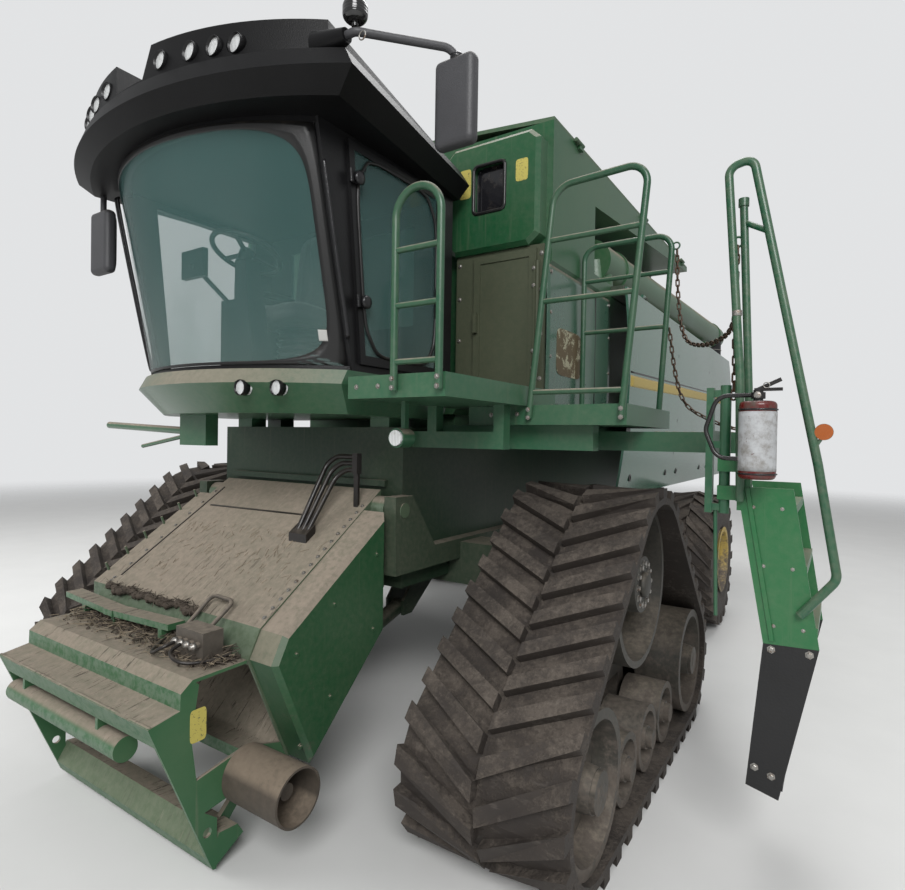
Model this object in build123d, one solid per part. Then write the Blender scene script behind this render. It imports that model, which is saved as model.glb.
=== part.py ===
from build123d import *
import os
from math import asin, atan2, ceil, cos, degrees, hypot, pi, radians, sin

# Combine harvester on rubber half-tracks, without its cutting table.
# Millimetres. While the pieces are made, X = 0 is the machine's middle, Y = 0 its drive axle,
# Z = 0 the ground, -Y the front and +X the driver's left. At the end the whole machine is moved
# so that its origin is the middle of the ground that its box covers.

# Sheet metal
SHEET = 12            # walls of tank, hoods and feeder, as thick as their folded frames
SEAT = 0.3            # what is left between two pieces that rest on each other
PIN_FIT = 0.05        # radial play of a pin in its bore

# Tracks: a belt round a high drive wheel and two idlers
BELT_INNER_X = 1285
BELT_WIDTH = 762
BELT_THICK = 35
LUG_HEIGHT = 50
LUG_WIDTH = 70
LUG_SWEEP = 190       # how far a lug's outer end runs ahead of its inner end
LUGS_PER_HALF = 40
DRIVE_TIP_R = 524     # out to the lugs' tips
IDLER_TIP_R = 411
DRIVE_AXLE_Z = 1074
IDLER_Y = 889
BELT_FACET = 15       # degrees of belt that one flat stands for, round the wheels
ROLLER_R = 170
ROLLER_PITCH = 370
FINAL_DRIVE_R = 138   # housing between the axle beam and the drive wheel

# Rear axle and tyres
WHEELBASE = 3250
TYRE_R = 670
TYRE_WIDTH = 500
TYRE_LUG = 38
TYRE_LUGS = 22        # on each half of the tread
RIM_R = 325
REAR_TREAD_X = 1600
KINGPIN_X = 1230
KINGPIN_R = 40
STUB_R = 45

# Threshing body between the tracks
BODY_HALF = 780
BODY_FRONT_Y = -620
BODY_TOP_Z = 1900
BODY_FLOOR_Z = 1000
AXLE_BEAM = 260
AXLE_ROOM = 12        # what is left round the axle beam where the body is notched for it
SHOE_Z = 850          # underside of the cleaning shoe
TAIL_FLOOR_Z = 1060
BODY_REAR_Y = 4300
LEDGE_Z = 1565        # strip across the body's front, above the feeder

# Grain tank
TANK_HALF = 1380
TANK_FRONT_Y = 0
TANK_REAR_Y = 3560
TANK_TOP_Z = 3723
RECESS_DEEP = 733     # from the tank's top down to the floor that the folded auger lies over
RECESS_Z = TANK_TOP_Z - RECESS_DEEP
TANK_SHOULDER_Z = RECESS_Z - 90
TANK_FLOOR_HALF = 700
RECESS_X = 1000       # the left wall stands back to here, to let the auger fold in
RECESS_Y = 710
RECESS_TOP_Z = TANK_TOP_Z - 273
BAY_LOW_Z = RECESS_Z - 5      # window box on the tank's front
BAY_TOP_Z = TANK_TOP_Z - 68
HINGE_R = 12          # barrels of the covers' and the shields' hinges
HINGE_LENGTH = 60
COVER_HINGES = (300, 1800, 3200)

SERVICE_X0 = 900      # service door behind the cab
SERVICE_X1 = 1320
SERVICE_Z0 = 2150
SERVICE_Z1 = BAY_LOW_Z - 25

# Rear deck and hood
HOOD_TOP_Z = RECESS_Z + 260
HOOD_REAR_Y = 6000
HOOD_BREAK_Y = 4700   # where the roof begins to fall
HOOD_SLOPE_Y = 5600
HOOD_SLOPE_Z = HOOD_TOP_Z - 350
HOOD_TAIL_Z = 2250
HOOD_SILL_Z = 1600
HOOD_FLOOR_Z = 1350
HOOD_HALF = 1150
HOOD_SHOULDER_Z = RECESS_Z - 5
ENGINE_Y = 3850
ENGINE_LENGTH = 400
ENGINE_TOP_Z = 2900
SPREADER_X = 430
SPREADER_Y = 5350
SPREADER_Z = 1120
SPREADER_R = 330

# Cab
CAB_HALF = 830
CAB_REAR_Y = -230
CAB_REAR_POST_Y = -400
CAB_FLOOR_Z = 1955
GLASS_FOOT_Z = 2165
GLASS_HEAD_Z = 3285
GLASS_FOOT_Y = -1090
GLASS_HEAD_Y = -1340
GLASS_FOOT_BULGE = 350
GLASS_HEAD_BULGE = 290
GLASS = 8
POST = 55
NOSE_OVERHANG = 75
ROOF_SKIRT_Z = 3450
ROOF_TOP_Z = 3620
ROOF_HALF = 1130
ROOF_FRONT_Y = -1440
ROOF_BULGE = 340
ROOF_BROW_HALF = 980  # the raised brow with the work lamps
ROOF_BROW_Y = -1420
ROOF_BROW_BULGE = 325
ROOF_DIP_HALF = 110   # half the width of the dip between the brow's two halves
ROOF_LAMPS = (-620, -520, -400, -230, 230, 400, 520, 620)
ROOF_LAMP_Z = 3522
ROOF_LAMP_R = 40
BOSS_END_X = 1080     # where the left mirror's arm leaves the roof
NOSE_LAMPS = (430, 590)
NOSE_LAMP_R = 34
DOOR_LEAN = 6.0       # degrees that the door's hinge line leans forward
DOOR_THICK = 20
DOOR_FOOT = 35        # from the glass line's foot up to the door's lower edge
DOOR_HEAD = 30
DOOR_AXIS_X = 864
DOOR_HINGE_Z = (2500, 3080)
MIRROR_W = 200
MIRROR_H = 380
MIRROR_LEFT = (1420, -1105, 3275)
MIRROR_RIGHT = (-985, -1365, 3005)
MIRROR_ARM_R = 17
MIRROR_ARM_Z = 3505
BEACON_X = 1125
NOSE_ARM_Y = -1150    # two bars that reach out to the right under the nose
WALK_LAMP = (1028, -1000, 1841)
WALK_LAMP_R = 38

# Feeder house, hinged in front of the threshing body
FEEDER_HALF = 676
FEEDER_PIVOT_Y = -700
FEEDER_PIVOT_Z = 1450
FEEDER_PIN_R = 40
FEEDER_TOP = ((-680, 1550), (-1496, 983), (-1560, 860))
FEEDER_BELLY = ((-1330, 330), (-640, 1000))
FEEDER_LIFT = 26      # degrees from the ground to full height
SHIELD_THICK = 160
SHIELD_START = 0.17   # share of the feeder's top where the shield begins
GUARD_Y = -1560
GUARD_Z = 370
GUARD_R = 120
GUARD_END_X = 1005
SHAFT_R = 34
LOCK_Y = -1745        # holes that the cutting table's lock pins go through
LOCK_Z = 200
LOCK_R = 20
PLATE = 16            # the adapter's end plates
ADAPTER_HALF = 669
ADAPTER_LIP = (-2002, 728)
ADAPTER_CREST = (-1819, 858)
ADAPTER_STEP = ((-1870, 818), (-1872, 752))
ADAPTER_TIP = (-1718, 30)
ADAPTER_REAR = ((-1790, 830), (-1822, 620), (-1797, 440))
ADAPTER_HEEL = ((-1760, 290), (-1700, 240), (-1700, 25))
CROSS_TUBE = (-1930, 540)
CROSS_TUBE_R = 52
HANGER_X = (-500, 200)
COUPLER_X = (360, 560)
HOSE_R = 14
HOSE_X = 395          # first of the three hoses on the feeder's top
HOSE_PITCH = 36
HOSE_CLAMP = (606, -803, 1733)
TRAY_WIDTH = 124      # cover on the feeder's right side
TRAY_DEEP = 120
TRAY_HOOKS = 6

# Lift cylinders under the feeder
LIFT_X = 450
LIFT_BASE_Y = -215
LIFT_BASE_Z = 760
LIFT_EYE_Y = -1100
LIFT_EYE_Z = 500
LIFT_BARREL_R = 48
LIFT_ROD_R = 28
LIFT_BARREL_LENGTH = 620
LIFT_PIN_R = 20
LIFT_DRIFT = 12       # room round the eye's pin for what the lift's linkage leaves

# Unloading auger
AUGER_R = 165
AUGER_X = 1215
AUGER_Y = 1150
AUGER_Z = RECESS_Z + 194
AUGER_LENGTH = 4900
AUGER_RISE = 2.0      # degrees that the stowed tube climbs to the rear
AUGER_LEAN = 5.0      # degrees that the turning axis leans inward
AUGER_HEEL = 100      # stub of the tube ahead of its turning axis
AUGER_COLLAR = 172    # from the tube's middle down to the turning joint
AUGER_COLLAR_R = 130
CRADLE_REACH = 3850   # from the turning axis back to the cradle

# Side shields
SHIELD_FRONT_Y = 1100
SHIELD_REAR_Y = 5800
SHIELD_FOOT_Z = 1420
SHIELD_HEAD_Z = RECESS_Z - 15
SHIELD_THICK_X = 18
SHIELD_HINGES = (1500, 2900, 4300)
RAIL_WIDTH = 90

# Walkway, rails and ladder on the left
WALK_1 = dict(x0=878, x1=1430, y0=-1170, y1=-30, top=2125)
WALK_2 = dict(x0=1070, x1=1960, y0=-394, y1=450, top=2025)
WALK_3 = dict(x0=1620, x1=2430, y0=-20, y1=430, top=1895)
WALK_DEEP = 104
RAIL_R = 17
LADDER_X = 2450
LADDER_Y = -450
LADDER_WIDTH = 500
LADDER_AXIS_X = 2405  # the upright pin that the ladder swings on
LADDER_PIN_R = 22
BOTTLE_R = 68         # fire extinguisher on the ladder
BOTTLE_OFFSET = 150


def block(x0, x1, y0, y1, z0, z1):
    """A box between its low and high corners."""
    return Pos(x0, y0, z0) * Box(x1 - x0, y1 - y0, z1 - z0, align=(Align.MIN,) * 3)


def prism_x(outline, x0, x1):
    """A (y, z) outline carried along X."""
    return extrude(Plane.YZ.offset(x0) * make_face(Polyline(*outline, close=True)), x1 - x0)


def prism_y(outline, y0, y1):
    """An (x, z) outline carried along Y."""
    return extrude(Plane.XZ.offset(-y0) * make_face(Polyline(*outline, close=True)), -(y1 - y0))


def prism_z(outline, z0, z1):
    """An (x, y) outline carried up Z."""
    return extrude(Plane.XY.offset(z0) * make_face(Polyline(*outline, close=True)), z1 - z0)


def shell_x(outline, x0, x1, wall):
    """A sheet-metal case: an outline carried along X, hollow, with its end plates."""
    face = make_face(Polyline(*outline, close=True))
    inside = offset(face, -wall, kind=Kind.INTERSECTION)
    hollow = extrude(Plane.YZ.offset(x0 + wall) * inside, x1 - x0 - 2 * wall)
    return prism_x(outline, x0, x1) - hollow


STANDING = (Align.CENTER, Align.CENTER, Align.MIN)


def rod_x(x0, x1, y, z, r):
    return Pos(x0, y, z) * Rot(0, 90, 0) * Cylinder(r, x1 - x0, align=STANDING)


def rod_y(x, y0, y1, z, r):
    return Pos(x, y0, z) * Rot(-90, 0, 0) * Cylinder(r, y1 - y0, align=STANDING)


def rod_z(x, y, z0, z1, r):
    return Pos(x, y, z0) * Cylinder(r, z1 - z0, align=STANDING)


def rod_between(start, end, r):
    """A round bar from one point to another."""
    axis = Vector(*end) - Vector(*start)
    return extrude(Plane(origin=start, z_dir=axis) * Circle(r), axis.length)


def tube_along(points, r, bends):
    """A bent round tube: straight runs with an arc at each inner point."""
    path = FilletPolyline(*points, radius=bends)
    return sweep(Plane(origin=path @ 0, z_dir=path % 0) * Circle(r), path=path)


def mirror_x(piece):
    return mirror(piece, about=Plane.YZ)


def fused(pieces):
    """All pieces as one solid."""
    whole = pieces[0]
    return whole.fuse(*pieces[1:]) if len(pieces) > 1 else whole


def hinge_half(x, z, places, start, leaf):
    """One side of a row of hinges along Y: barrels on the axis and their leaves (x0, x1, z0, z1)."""
    x0, x1, z0, z1 = leaf
    pieces = []
    for y in places:
        pieces.append(rod_y(x, y + start, y + start + HINGE_LENGTH, z, HINGE_R))
        pieces.append(block(x0, x1, y + start, y + start + HINGE_LENGTH, z0, z1))
    return pieces


# Belt

def belt_runs():
    """The belt's carcass face as runs: bottom, front idler, front slope, drive wheel and so on.

    Each run is (length, centre, radius, start angle, turn) round a wheel, or
    (length, start, direction) along a straight. Travel is forward along the ground."""
    wheels = (
        ((IDLER_Y, IDLER_TIP_R), IDLER_TIP_R - LUG_HEIGHT),
        ((-IDLER_Y, IDLER_TIP_R), IDLER_TIP_R - LUG_HEIGHT),
        ((0, DRIVE_AXLE_Z), DRIVE_TIP_R - LUG_HEIGHT),
    )
    normals = []
    for i, ((y0, z0), r0) in enumerate(wheels):
        (y1, z1), r1 = wheels[(i + 1) % 3]
        gap = hypot(y1 - y0, z1 - z0)
        u = ((y1 - y0) / gap, (z1 - z0) / gap)
        lean = asin((r0 - r1) / gap)
        normals.append((-u[1] * cos(lean) + u[0] * sin(lean), u[0] * cos(lean) + u[1] * sin(lean)))
    runs = []
    for i in range(3):
        (y0, z0), r0 = wheels[i]
        (y1, z1), r1 = wheels[(i + 1) % 3]
        n = normals[i]
        start = (y0 + r0 * n[0], z0 + r0 * n[1])
        end = (y1 + r1 * n[0], z1 + r1 * n[1])
        length = hypot(end[0] - start[0], end[1] - start[1])
        runs.append((length, start, ((end[0] - start[0]) / length, (end[1] - start[1]) / length)))
        after = normals[(i + 1) % 3]
        turn = (atan2(n[1], n[0]) - atan2(after[1], after[0])) % (2 * pi)
        runs.append((r1 * turn, (y1, z1), r1, atan2(n[1], n[0]), turn))
    return runs


BELT_RUNS = belt_runs()
BELT_LENGTH = sum(run[0] for run in BELT_RUNS)


def belt_spot(travel, lift):
    """The (y, z) point at a distance along the belt, lifted outward off its carcass."""
    travel %= BELT_LENGTH
    for run in BELT_RUNS:
        if travel <= run[0]:
            break
        travel -= run[0]
    if len(run) == 3:
        _, start, d = run
        return (start[0] + d[0] * travel - d[1] * lift, start[1] + d[1] * travel + d[0] * lift)
    _, centre, r, angle, turn = run
    at = angle - turn * travel / run[0]
    return (centre[0] + (r + lift) * cos(at), centre[1] + (r + lift) * sin(at))


def belt_outline(lift):
    """The belt's closed outline, flat from facet to facet round the wheels."""
    points, travelled = [], 0.0
    for run in BELT_RUNS:
        if len(run) == 5:
            steps = ceil(degrees(run[4]) / BELT_FACET)
            for k in range(steps + 1):
                points.append(belt_spot(travelled + run[0] * k / steps, lift))
        travelled += run[0]
    return points


def wedge(base, top):
    """A solid on four base and four top corners, each side split into two triangles."""
    rings = [Vector(*p) for p in base], [Vector(*p) for p in top]
    faces = []

    def quad(a, b, c, d):
        for corners in ((a, b, c), (a, c, d)):
            faces.append(Face(Wire.make_polygon(corners, close=True)))

    quad(*reversed(rings[0]))
    quad(*rings[1])
    for k in range(4):
        n = (k + 1) % 4
        quad(rings[0][k], rings[0][n], rings[1][n], rings[1][k])
    return Solid(Shell(faces))


def belt():
    """The left belt: carcass and two staggered rows of slanted lugs, one solid."""
    middle = BELT_INNER_X + BELT_WIDTH / 2
    carcass = prism_x(belt_outline(0), BELT_INNER_X, BELT_INNER_X + BELT_WIDTH)
    carcass -= prism_x(belt_outline(-BELT_THICK), BELT_INNER_X - 1, BELT_INNER_X + BELT_WIDTH + 1)
    pitch = BELT_LENGTH / LUGS_PER_HALF
    lugs = []
    for half, edge in enumerate((BELT_INNER_X, BELT_INNER_X + BELT_WIDTH)):
        near = middle + (8 if half else -8)
        for k in range(LUGS_PER_HALF):
            s = (k + half / 2) * pitch
            spots = (
                (near, s - LUG_WIDTH / 2), (edge, s + LUG_SWEEP - LUG_WIDTH / 2),
                (edge, s + LUG_SWEEP + LUG_WIDTH / 2), (near, s + LUG_WIDTH / 2),
            )
            if not half:
                spots = spots[::-1]
            base = [(x, *belt_spot(at, -BELT_THICK / 4)) for x, at in spots]
            top = [(x, *belt_spot(at, LUG_HEIGHT)) for x, at in spots]
            lugs.append(wedge(base, top))
    return carcass.fuse(*lugs)


def wheel_profile(r, width, hub_r, rim, web):
    """Half section of a dished disc wheel about X: deep rim, thin web, thick hub."""
    half = width / 2
    return (
        (0, 0), (-half, 0), (-half, hub_r), (-web, hub_r + 15), (-web, r - rim - 15),
        (-half, r - rim), (-half, r), (half, r), (half, r - rim), (web, r - rim - 15),
        (web, hub_r + 15), (half, hub_r), (half, 0),
    )


def disc_wheel(x, y, z, r, width, hub_r, rim, web=20):
    """A wheel whose axle lies along X."""
    face = make_face(Polyline(*wheel_profile(r, width, hub_r, rim, web), close=True))
    return Pos(x, y, z) * revolve(face, Axis.X)


def track_frame():
    """Beam between the two idlers, its arm up to the axle, idlers and rollers."""
    middle = BELT_INNER_X + BELT_WIDTH / 2
    idler_r = (IDLER_TIP_R - LUG_HEIGHT - BELT_THICK) * cos(radians(BELT_FACET / 2)) - SEAT
    beam_z = IDLER_TIP_R
    roller_z = LUG_HEIGHT + BELT_THICK + ROLLER_R + SEAT
    pieces = [block(middle - 55, middle + 55, -IDLER_Y, IDLER_Y, beam_z + 40, beam_z + 150)]
    for y in (-IDLER_Y, IDLER_Y):
        pieces.append(rod_x(BELT_INNER_X + 10, BELT_INNER_X + BELT_WIDTH - 10, y, beam_z, 85))
        pieces.append(block(middle - 55, middle + 55, y - 90, y + 90, beam_z - 80, beam_z + 60))
        for x in (middle - 215, middle + 215):
            pieces.append(disc_wheel(x, y, beam_z, idler_r, 270, 90, 45))
    for k in (-1, 0, 1):
        y = k * ROLLER_PITCH
        pieces.append(rod_x(BELT_INNER_X + 30, BELT_INNER_X + BELT_WIDTH - 30, y, roller_z, 50))
        pieces.append(block(middle - 50, middle + 50, y - 50, y + 50, roller_z - 40, beam_z + 60))
        for x in (middle - 205, middle + 205):
            pieces.append(disc_wheel(x, y, roller_z, ROLLER_R, 230, 60, 35))
    arm_x0, arm_x1 = BELT_INNER_X - 90, BELT_INNER_X - 25
    pieces.append(rod_x(arm_x0, middle, 0, beam_z + 130, 60))
    arm_top = DRIVE_AXLE_Z - FINAL_DRIVE_R - SEAT
    arm = ((-220, beam_z + 60), (220, beam_z + 60), (150, arm_top), (-150, arm_top))
    pieces.append(prism_x(arm, arm_x0, arm_x1))
    return fused(pieces)


def drive_wheel():
    """High wheel that drives the belt, with six round windows in its disc."""
    r = (DRIVE_TIP_R - LUG_HEIGHT - BELT_THICK) * cos(radians(BELT_FACET / 2)) - SEAT
    middle = BELT_INNER_X + BELT_WIDTH / 2
    wheel = disc_wheel(middle, 0, DRIVE_AXLE_Z, r, 560, 150, 36)
    windows = [
        rod_x(middle - 60, middle + 60, 270 * cos(radians(a)), DRIVE_AXLE_Z + 270 * sin(radians(a)), 62)
        for a in range(0, 360, 60)
    ]
    return wheel.cut(*windows)


# Frame and axles

def main_frame():
    """Two long rails, the front axle beam with its final drives, and the rear axle's hanger."""
    half = AXLE_BEAM / 2
    hub_x = BELT_INNER_X + BELT_WIDTH / 2 - 280 - SEAT
    reach = BELT_INNER_X - 120
    pieces = [block(-reach, reach, -half, half, DRIVE_AXLE_Z - half, DRIVE_AXLE_Z + half)]
    for side in (-1, 1):
        low, high = sorted((side * (BELT_INNER_X - 121), side * (BELT_INNER_X - 20)))
        pieces.append(rod_x(low, high, 0, DRIVE_AXLE_Z, FINAL_DRIVE_R))
        low, high = sorted((side * (BELT_INNER_X - 21), side * hub_x))
        pieces.append(rod_x(low, high, 0, DRIVE_AXLE_Z, 110))
        # Long rail beside the body, from the feeder's pivot back to the rear axle
        x0 = side * (BODY_HALF + SEAT + 40)
        low, high = sorted((x0 - side * 40, x0 + side * 40))
        pieces.append(block(low, high, FEEDER_PIVOT_Y - 70, WHEELBASE + 300,
                            DRIVE_AXLE_Z + 30, DRIVE_AXLE_Z + 150))
        cheek = (
            (FEEDER_PIVOT_Y - 75, FEEDER_PIVOT_Z - 75), (FEEDER_PIVOT_Y - 75, FEEDER_PIVOT_Z + 75),
            (FEEDER_PIVOT_Y + 75, FEEDER_PIVOT_Z + 75), (BODY_FRONT_Y + 220, DRIVE_AXLE_Z + 140),
            (FEEDER_PIVOT_Y - 70, DRIVE_AXLE_Z + 140),
        )
        pieces.append(prism_x(cheek, low, low + 80))
        # Ears for the lift cylinders, hanging from the axle beam
        for ear in (-1, 1):
            ear_x = side * LIFT_X + ear * 62
            ear_plate = (
                (LIFT_BASE_Y - 45, LIFT_BASE_Z - 45), (LIFT_BASE_Y + 45, LIFT_BASE_Z - 45),
                (half, DRIVE_AXLE_Z - half + 10), (-half, DRIVE_AXLE_Z - half + 10),
                (LIFT_BASE_Y - 45, LIFT_BASE_Z + 45),
            )
            pieces.append(prism_x(ear_plate, ear_x - 10, ear_x + 10))
        pieces.append(rod_x(side * LIFT_X - 75, side * LIFT_X + 75, LIFT_BASE_Y, LIFT_BASE_Z, LIFT_PIN_R))
    pieces.append(block(-BODY_HALF - 60, BODY_HALF + 60, WHEELBASE - 60, WHEELBASE + 60,
                        TAIL_FLOOR_Z - 101, TAIL_FLOOR_Z - 1))
    for side in (-1, 1):
        low, high = sorted((side * (BODY_HALF + 1), side * (BODY_HALF + 60)))
        pieces.append(block(low, high, WHEELBASE - 60, WHEELBASE + 60, TAIL_FLOOR_Z - 100, DRIVE_AXLE_Z + 40))
    frame = fused(pieces)
    bores = [
        rod_x(side * BODY_HALF - 200, side * BODY_HALF + 200, FEEDER_PIVOT_Y, FEEDER_PIVOT_Z,
              FEEDER_PIN_R + PIN_FIT)
        for side in (-1, 1)
    ]
    return frame.cut(*bores)


def rear_axle():
    """Beam under the hanger, with a fork for each kingpin."""
    z = TYRE_R
    pieces = [
        block(-KINGPIN_X + 60, KINGPIN_X - 60, WHEELBASE - 70, WHEELBASE + 70, z - 70, z + 70),
        block(-160, 160, WHEELBASE - 90, WHEELBASE + 90, z + 60, TAIL_FLOOR_Z - 101 - SEAT),
    ]
    for side in (-1, 1):
        low, high = sorted((side * (KINGPIN_X - 61), side * (KINGPIN_X + 60)))
        for z0 in (z - 130, z + 90):
            pieces.append(block(low, high, WHEELBASE - 60, WHEELBASE + 60, z0, z0 + 40))
        low, high = sorted((side * (KINGPIN_X - 100), side * (KINGPIN_X - 60)))
        pieces.append(block(low, high, WHEELBASE - 60, WHEELBASE + 60, z - 130, z + 130))
    axle = fused(pieces)
    bores = [
        rod_z(side * KINGPIN_X, WHEELBASE, z - 200, z + 200, KINGPIN_R + PIN_FIT) for side in (-1, 1)
    ]
    return axle.cut(*bores)


def knuckle():
    """Left steering knuckle: kingpin, block and the stub that the wheel turns on."""
    z = TYRE_R
    pieces = [
        rod_z(KINGPIN_X, WHEELBASE, z - 129, z + 129, KINGPIN_R),
        rod_z(KINGPIN_X, WHEELBASE, z - 88, z + 88, 53),
        block(KINGPIN_X, KINGPIN_X + 55, WHEELBASE - 50, WHEELBASE + 50, z - 88, z + 88),
        rod_x(KINGPIN_X + 50, KINGPIN_X + 95, WHEELBASE, z, 75),
        rod_x(KINGPIN_X + 90, REAR_TREAD_X + 40, WHEELBASE, z, STUB_R),
    ]
    return fused(pieces)


def rear_rim():
    """Left wheel: a dished disc on a hub, welded into a drop-centre rim."""
    half = TYRE_WIDTH / 2
    section = (
        (-half, RIM_R - 45), (-half, RIM_R), (-half + 20, RIM_R - 20), (half - 20, RIM_R - 20),
        (half, RIM_R), (half, RIM_R - 45), (half - 60, RIM_R - 60), (-half + 60, RIM_R - 60),
    )
    hoop = revolve(make_face(Polyline(*section, close=True)), Axis.X)
    disc = (
        (-20, 90), (-20, 180), (-60, RIM_R - 50), (-35, RIM_R - 50), (5, 190), (5, 90),
    )
    dish = revolve(make_face(Polyline(*disc, close=True)), Axis.X)
    hub = rod_x(-130, 60, 0, 0, 100) - rod_x(-140, 70, 0, 0, STUB_R + PIN_FIT)
    return Pos(REAR_TREAD_X, WHEELBASE, TYRE_R) * fused([hoop, dish, hub])


def tyre():
    """Left steering tyre: a flat-sided carcass with two rows of slanted lugs."""
    half = TYRE_WIDTH / 2
    tread = TYRE_R - TYRE_LUG
    outside = (
        (-half + 25, RIM_R - 19.7), (-half, RIM_R + 90), (-half + 10, tread - 70), (-half + 60, tread - 8),
        (0, tread), (half - 60, tread - 8), (half - 10, tread - 70), (half, RIM_R + 90),
        (half - 25, RIM_R - 19.7),
    )
    inside = (
        (half - 45, RIM_R - 19.7), (half - 25, RIM_R + 90), (half - 60, tread - 60),
        (-half + 60, tread - 60), (-half + 25, RIM_R + 90), (-half + 45, RIM_R - 19.7),
    )
    carcass = revolve(make_face(Polyline(*outside, *inside, close=True)), Axis.X)
    sweep_angle, half_angle = 20, 3.6
    lugs = []
    for side in (-1, 1):
        near, edge = side * -6, side * (half - 6)
        for k in range(TYRE_LUGS):
            at = 360 * (k + (0.5 if side > 0 else 0)) / TYRE_LUGS
            spots = [(near, at - half_angle), (edge, at + sweep_angle - half_angle),
                     (edge, at + sweep_angle + half_angle), (near, at + half_angle)]
            if side < 0:
                spots.reverse()

            def ring(radius_near, radius_edge):
                places = []
                for x, a in spots:
                    r = radius_near if x == near else radius_edge
                    places.append((x, r * cos(radians(a)), r * sin(radians(a))))
                return places

            lugs.append(wedge(ring(tread - 30, tread - 80), ring(TYRE_R, TYRE_R - 26)))
    return Pos(REAR_TREAD_X, WHEELBASE, TYRE_R) * carcass.fuse(*lugs)


# Body, tank and hoods

def threshing_body():
    """The long closed case that threshes and cleans, notched over the axle beam."""
    half = AXLE_BEAM / 2 + AXLE_ROOM
    notch_z = DRIVE_AXLE_Z + half
    outline = (
        (BODY_FRONT_Y, BODY_FLOOR_Z), (BODY_FRONT_Y, BODY_TOP_Z), (BODY_REAR_Y, BODY_TOP_Z),
        (BODY_REAR_Y, TAIL_FLOOR_Z + 190), (WHEELBASE + 300, TAIL_FLOOR_Z + SEAT),
        (WHEELBASE - 400, TAIL_FLOOR_Z + SEAT), (WHEELBASE - 750, SHOE_Z), (half + 350, SHOE_Z),
        (half, DRIVE_AXLE_Z - half + 30), (half, notch_z), (-half, notch_z), (-half, BODY_FLOOR_Z),
    )
    ledge = block(-FEEDER_HALF, FEEDER_HALF, BODY_FRONT_Y - 30, BODY_FRONT_Y + 1, LEDGE_Z, LEDGE_Z + 35)
    return shell_x(outline, -BODY_HALF, BODY_HALF, SHEET).fuse(ledge)


def tank_section(wall):
    """(x, z) section of the tank, brought in by a wall."""
    return (
        (-TANK_HALF + wall, TANK_TOP_Z + (1 if wall else 0)), (-TANK_HALF + wall, TANK_SHOULDER_Z + wall / 2),
        (-TANK_FLOOR_HALF + wall / 2, BODY_TOP_Z + SEAT + 100 + wall),
        (TANK_FLOOR_HALF - wall / 2, BODY_TOP_Z + SEAT + 100 + wall),
        (TANK_HALF - wall, TANK_SHOULDER_Z + wall / 2), (TANK_HALF - wall, TANK_TOP_Z + (1 if wall else 0)),
    )


def tank_recess(wall):
    """The space that the folded auger lies in, grown by a wall to cut the tank's inside."""
    outline = (
        (RECESS_Y - wall, RECESS_Z - wall), (TANK_REAR_Y + 200, RECESS_Z - wall),
        (TANK_REAR_Y + 200, TANK_TOP_Z - 10 + wall), (TANK_REAR_Y, TANK_TOP_Z - 30 + wall),
        (RECESS_Y - wall, RECESS_TOP_Z + wall),
    )
    return prism_x(outline, RECESS_X - wall, TANK_HALF + 200)


def grain_tank():
    """Open-topped hopper with a recess in its left wall and a window box on its front."""
    outside = prism_y(tank_section(0), TANK_FRONT_Y, TANK_REAR_Y) - tank_recess(0)
    inside = prism_y(tank_section(SHEET), TANK_FRONT_Y + SHEET, TANK_REAR_Y - SHEET) - tank_recess(SHEET)
    foot = block(-TANK_FLOOR_HALF + 20, TANK_FLOOR_HALF - 20, TANK_FRONT_Y + 60, TANK_REAR_Y - 60,
                 BODY_TOP_Z + SEAT, BODY_TOP_Z + 101)
    low, high = BAY_LOW_Z, BAY_TOP_Z
    bay = ((690, low + 55), (760, low), (1270, low), (1340, low + 55), (1340, high - 55), (1280, high),
           (750, high), (690, high - 55))
    window_box = prism_y(bay, TANK_FRONT_Y - 110, TANK_FRONT_Y + 1)
    window_box = chamfer(window_box.faces().sort_by(Axis.Y)[0].edges(), 25)
    pocket = block(900, 1120, TANK_FRONT_Y - 120, TANK_FRONT_Y - 60, low + 230, high - 145)
    x, z = cover_axis()
    leaf = (TANK_HALF - 1, x + 3, TANK_TOP_Z - 25, TANK_TOP_Z - 1)
    left = hinge_half(x, z, COVER_HINGES, HINGE_LENGTH + 5, leaf)
    right = [mirror_x(piece) for piece in left]
    return fused([outside - inside, foot, window_box, *left, *right]) - pocket


def bulkhead():
    """Upright plate behind the cab, under the tank's window box, with the hole for the service door."""
    y0, y1 = WALK_1["y1"] - 36, WALK_1["y1"]
    plate = block(760, 1360, y0, y1, WALK_1["top"] + SEAT, BAY_LOW_Z - SEAT)
    return plate - block(SERVICE_X0 + 30, SERVICE_X1 - 30, y0 - 1, y1 + 1, SERVICE_Z0 + 30, SERVICE_Z1 - 30)


def service_door():
    """Door on the bulkhead, on an upright hinge at its outer edge."""
    y = WALK_1["y1"] - 36 - SEAT
    door = block(SERVICE_X0, SERVICE_X1, y - 22, y, SERVICE_Z0, SERVICE_Z1)
    door -= block(SERVICE_X0 + 45, SERVICE_X1 - 45, y - 23, y - 14, SERVICE_Z0 + 45, SERVICE_Z1 - 45)
    middle = (SERVICE_Z0 + SERVICE_Z1) / 2
    handle = block(SERVICE_X0 + 12, SERVICE_X0 + 34, y - 48, y - 21, middle - 60, middle + 60)
    hinge = rod_z(SERVICE_X1 + 12, y - 26, SERVICE_Z0 + 80, SERVICE_Z1 - 80, 11)
    leaf = block(SERVICE_X1 - 10, SERVICE_X1 + 12, y - 32, y - 14, SERVICE_Z0 + 80, SERVICE_Z1 - 80)
    return fused([door, handle, hinge, leaf])


def cover_axis():
    """(x, z) of the left cover's hinge line, outside the tank's wall."""
    return TANK_HALF + HINGE_R + 5, TANK_TOP_Z + 8


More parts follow.
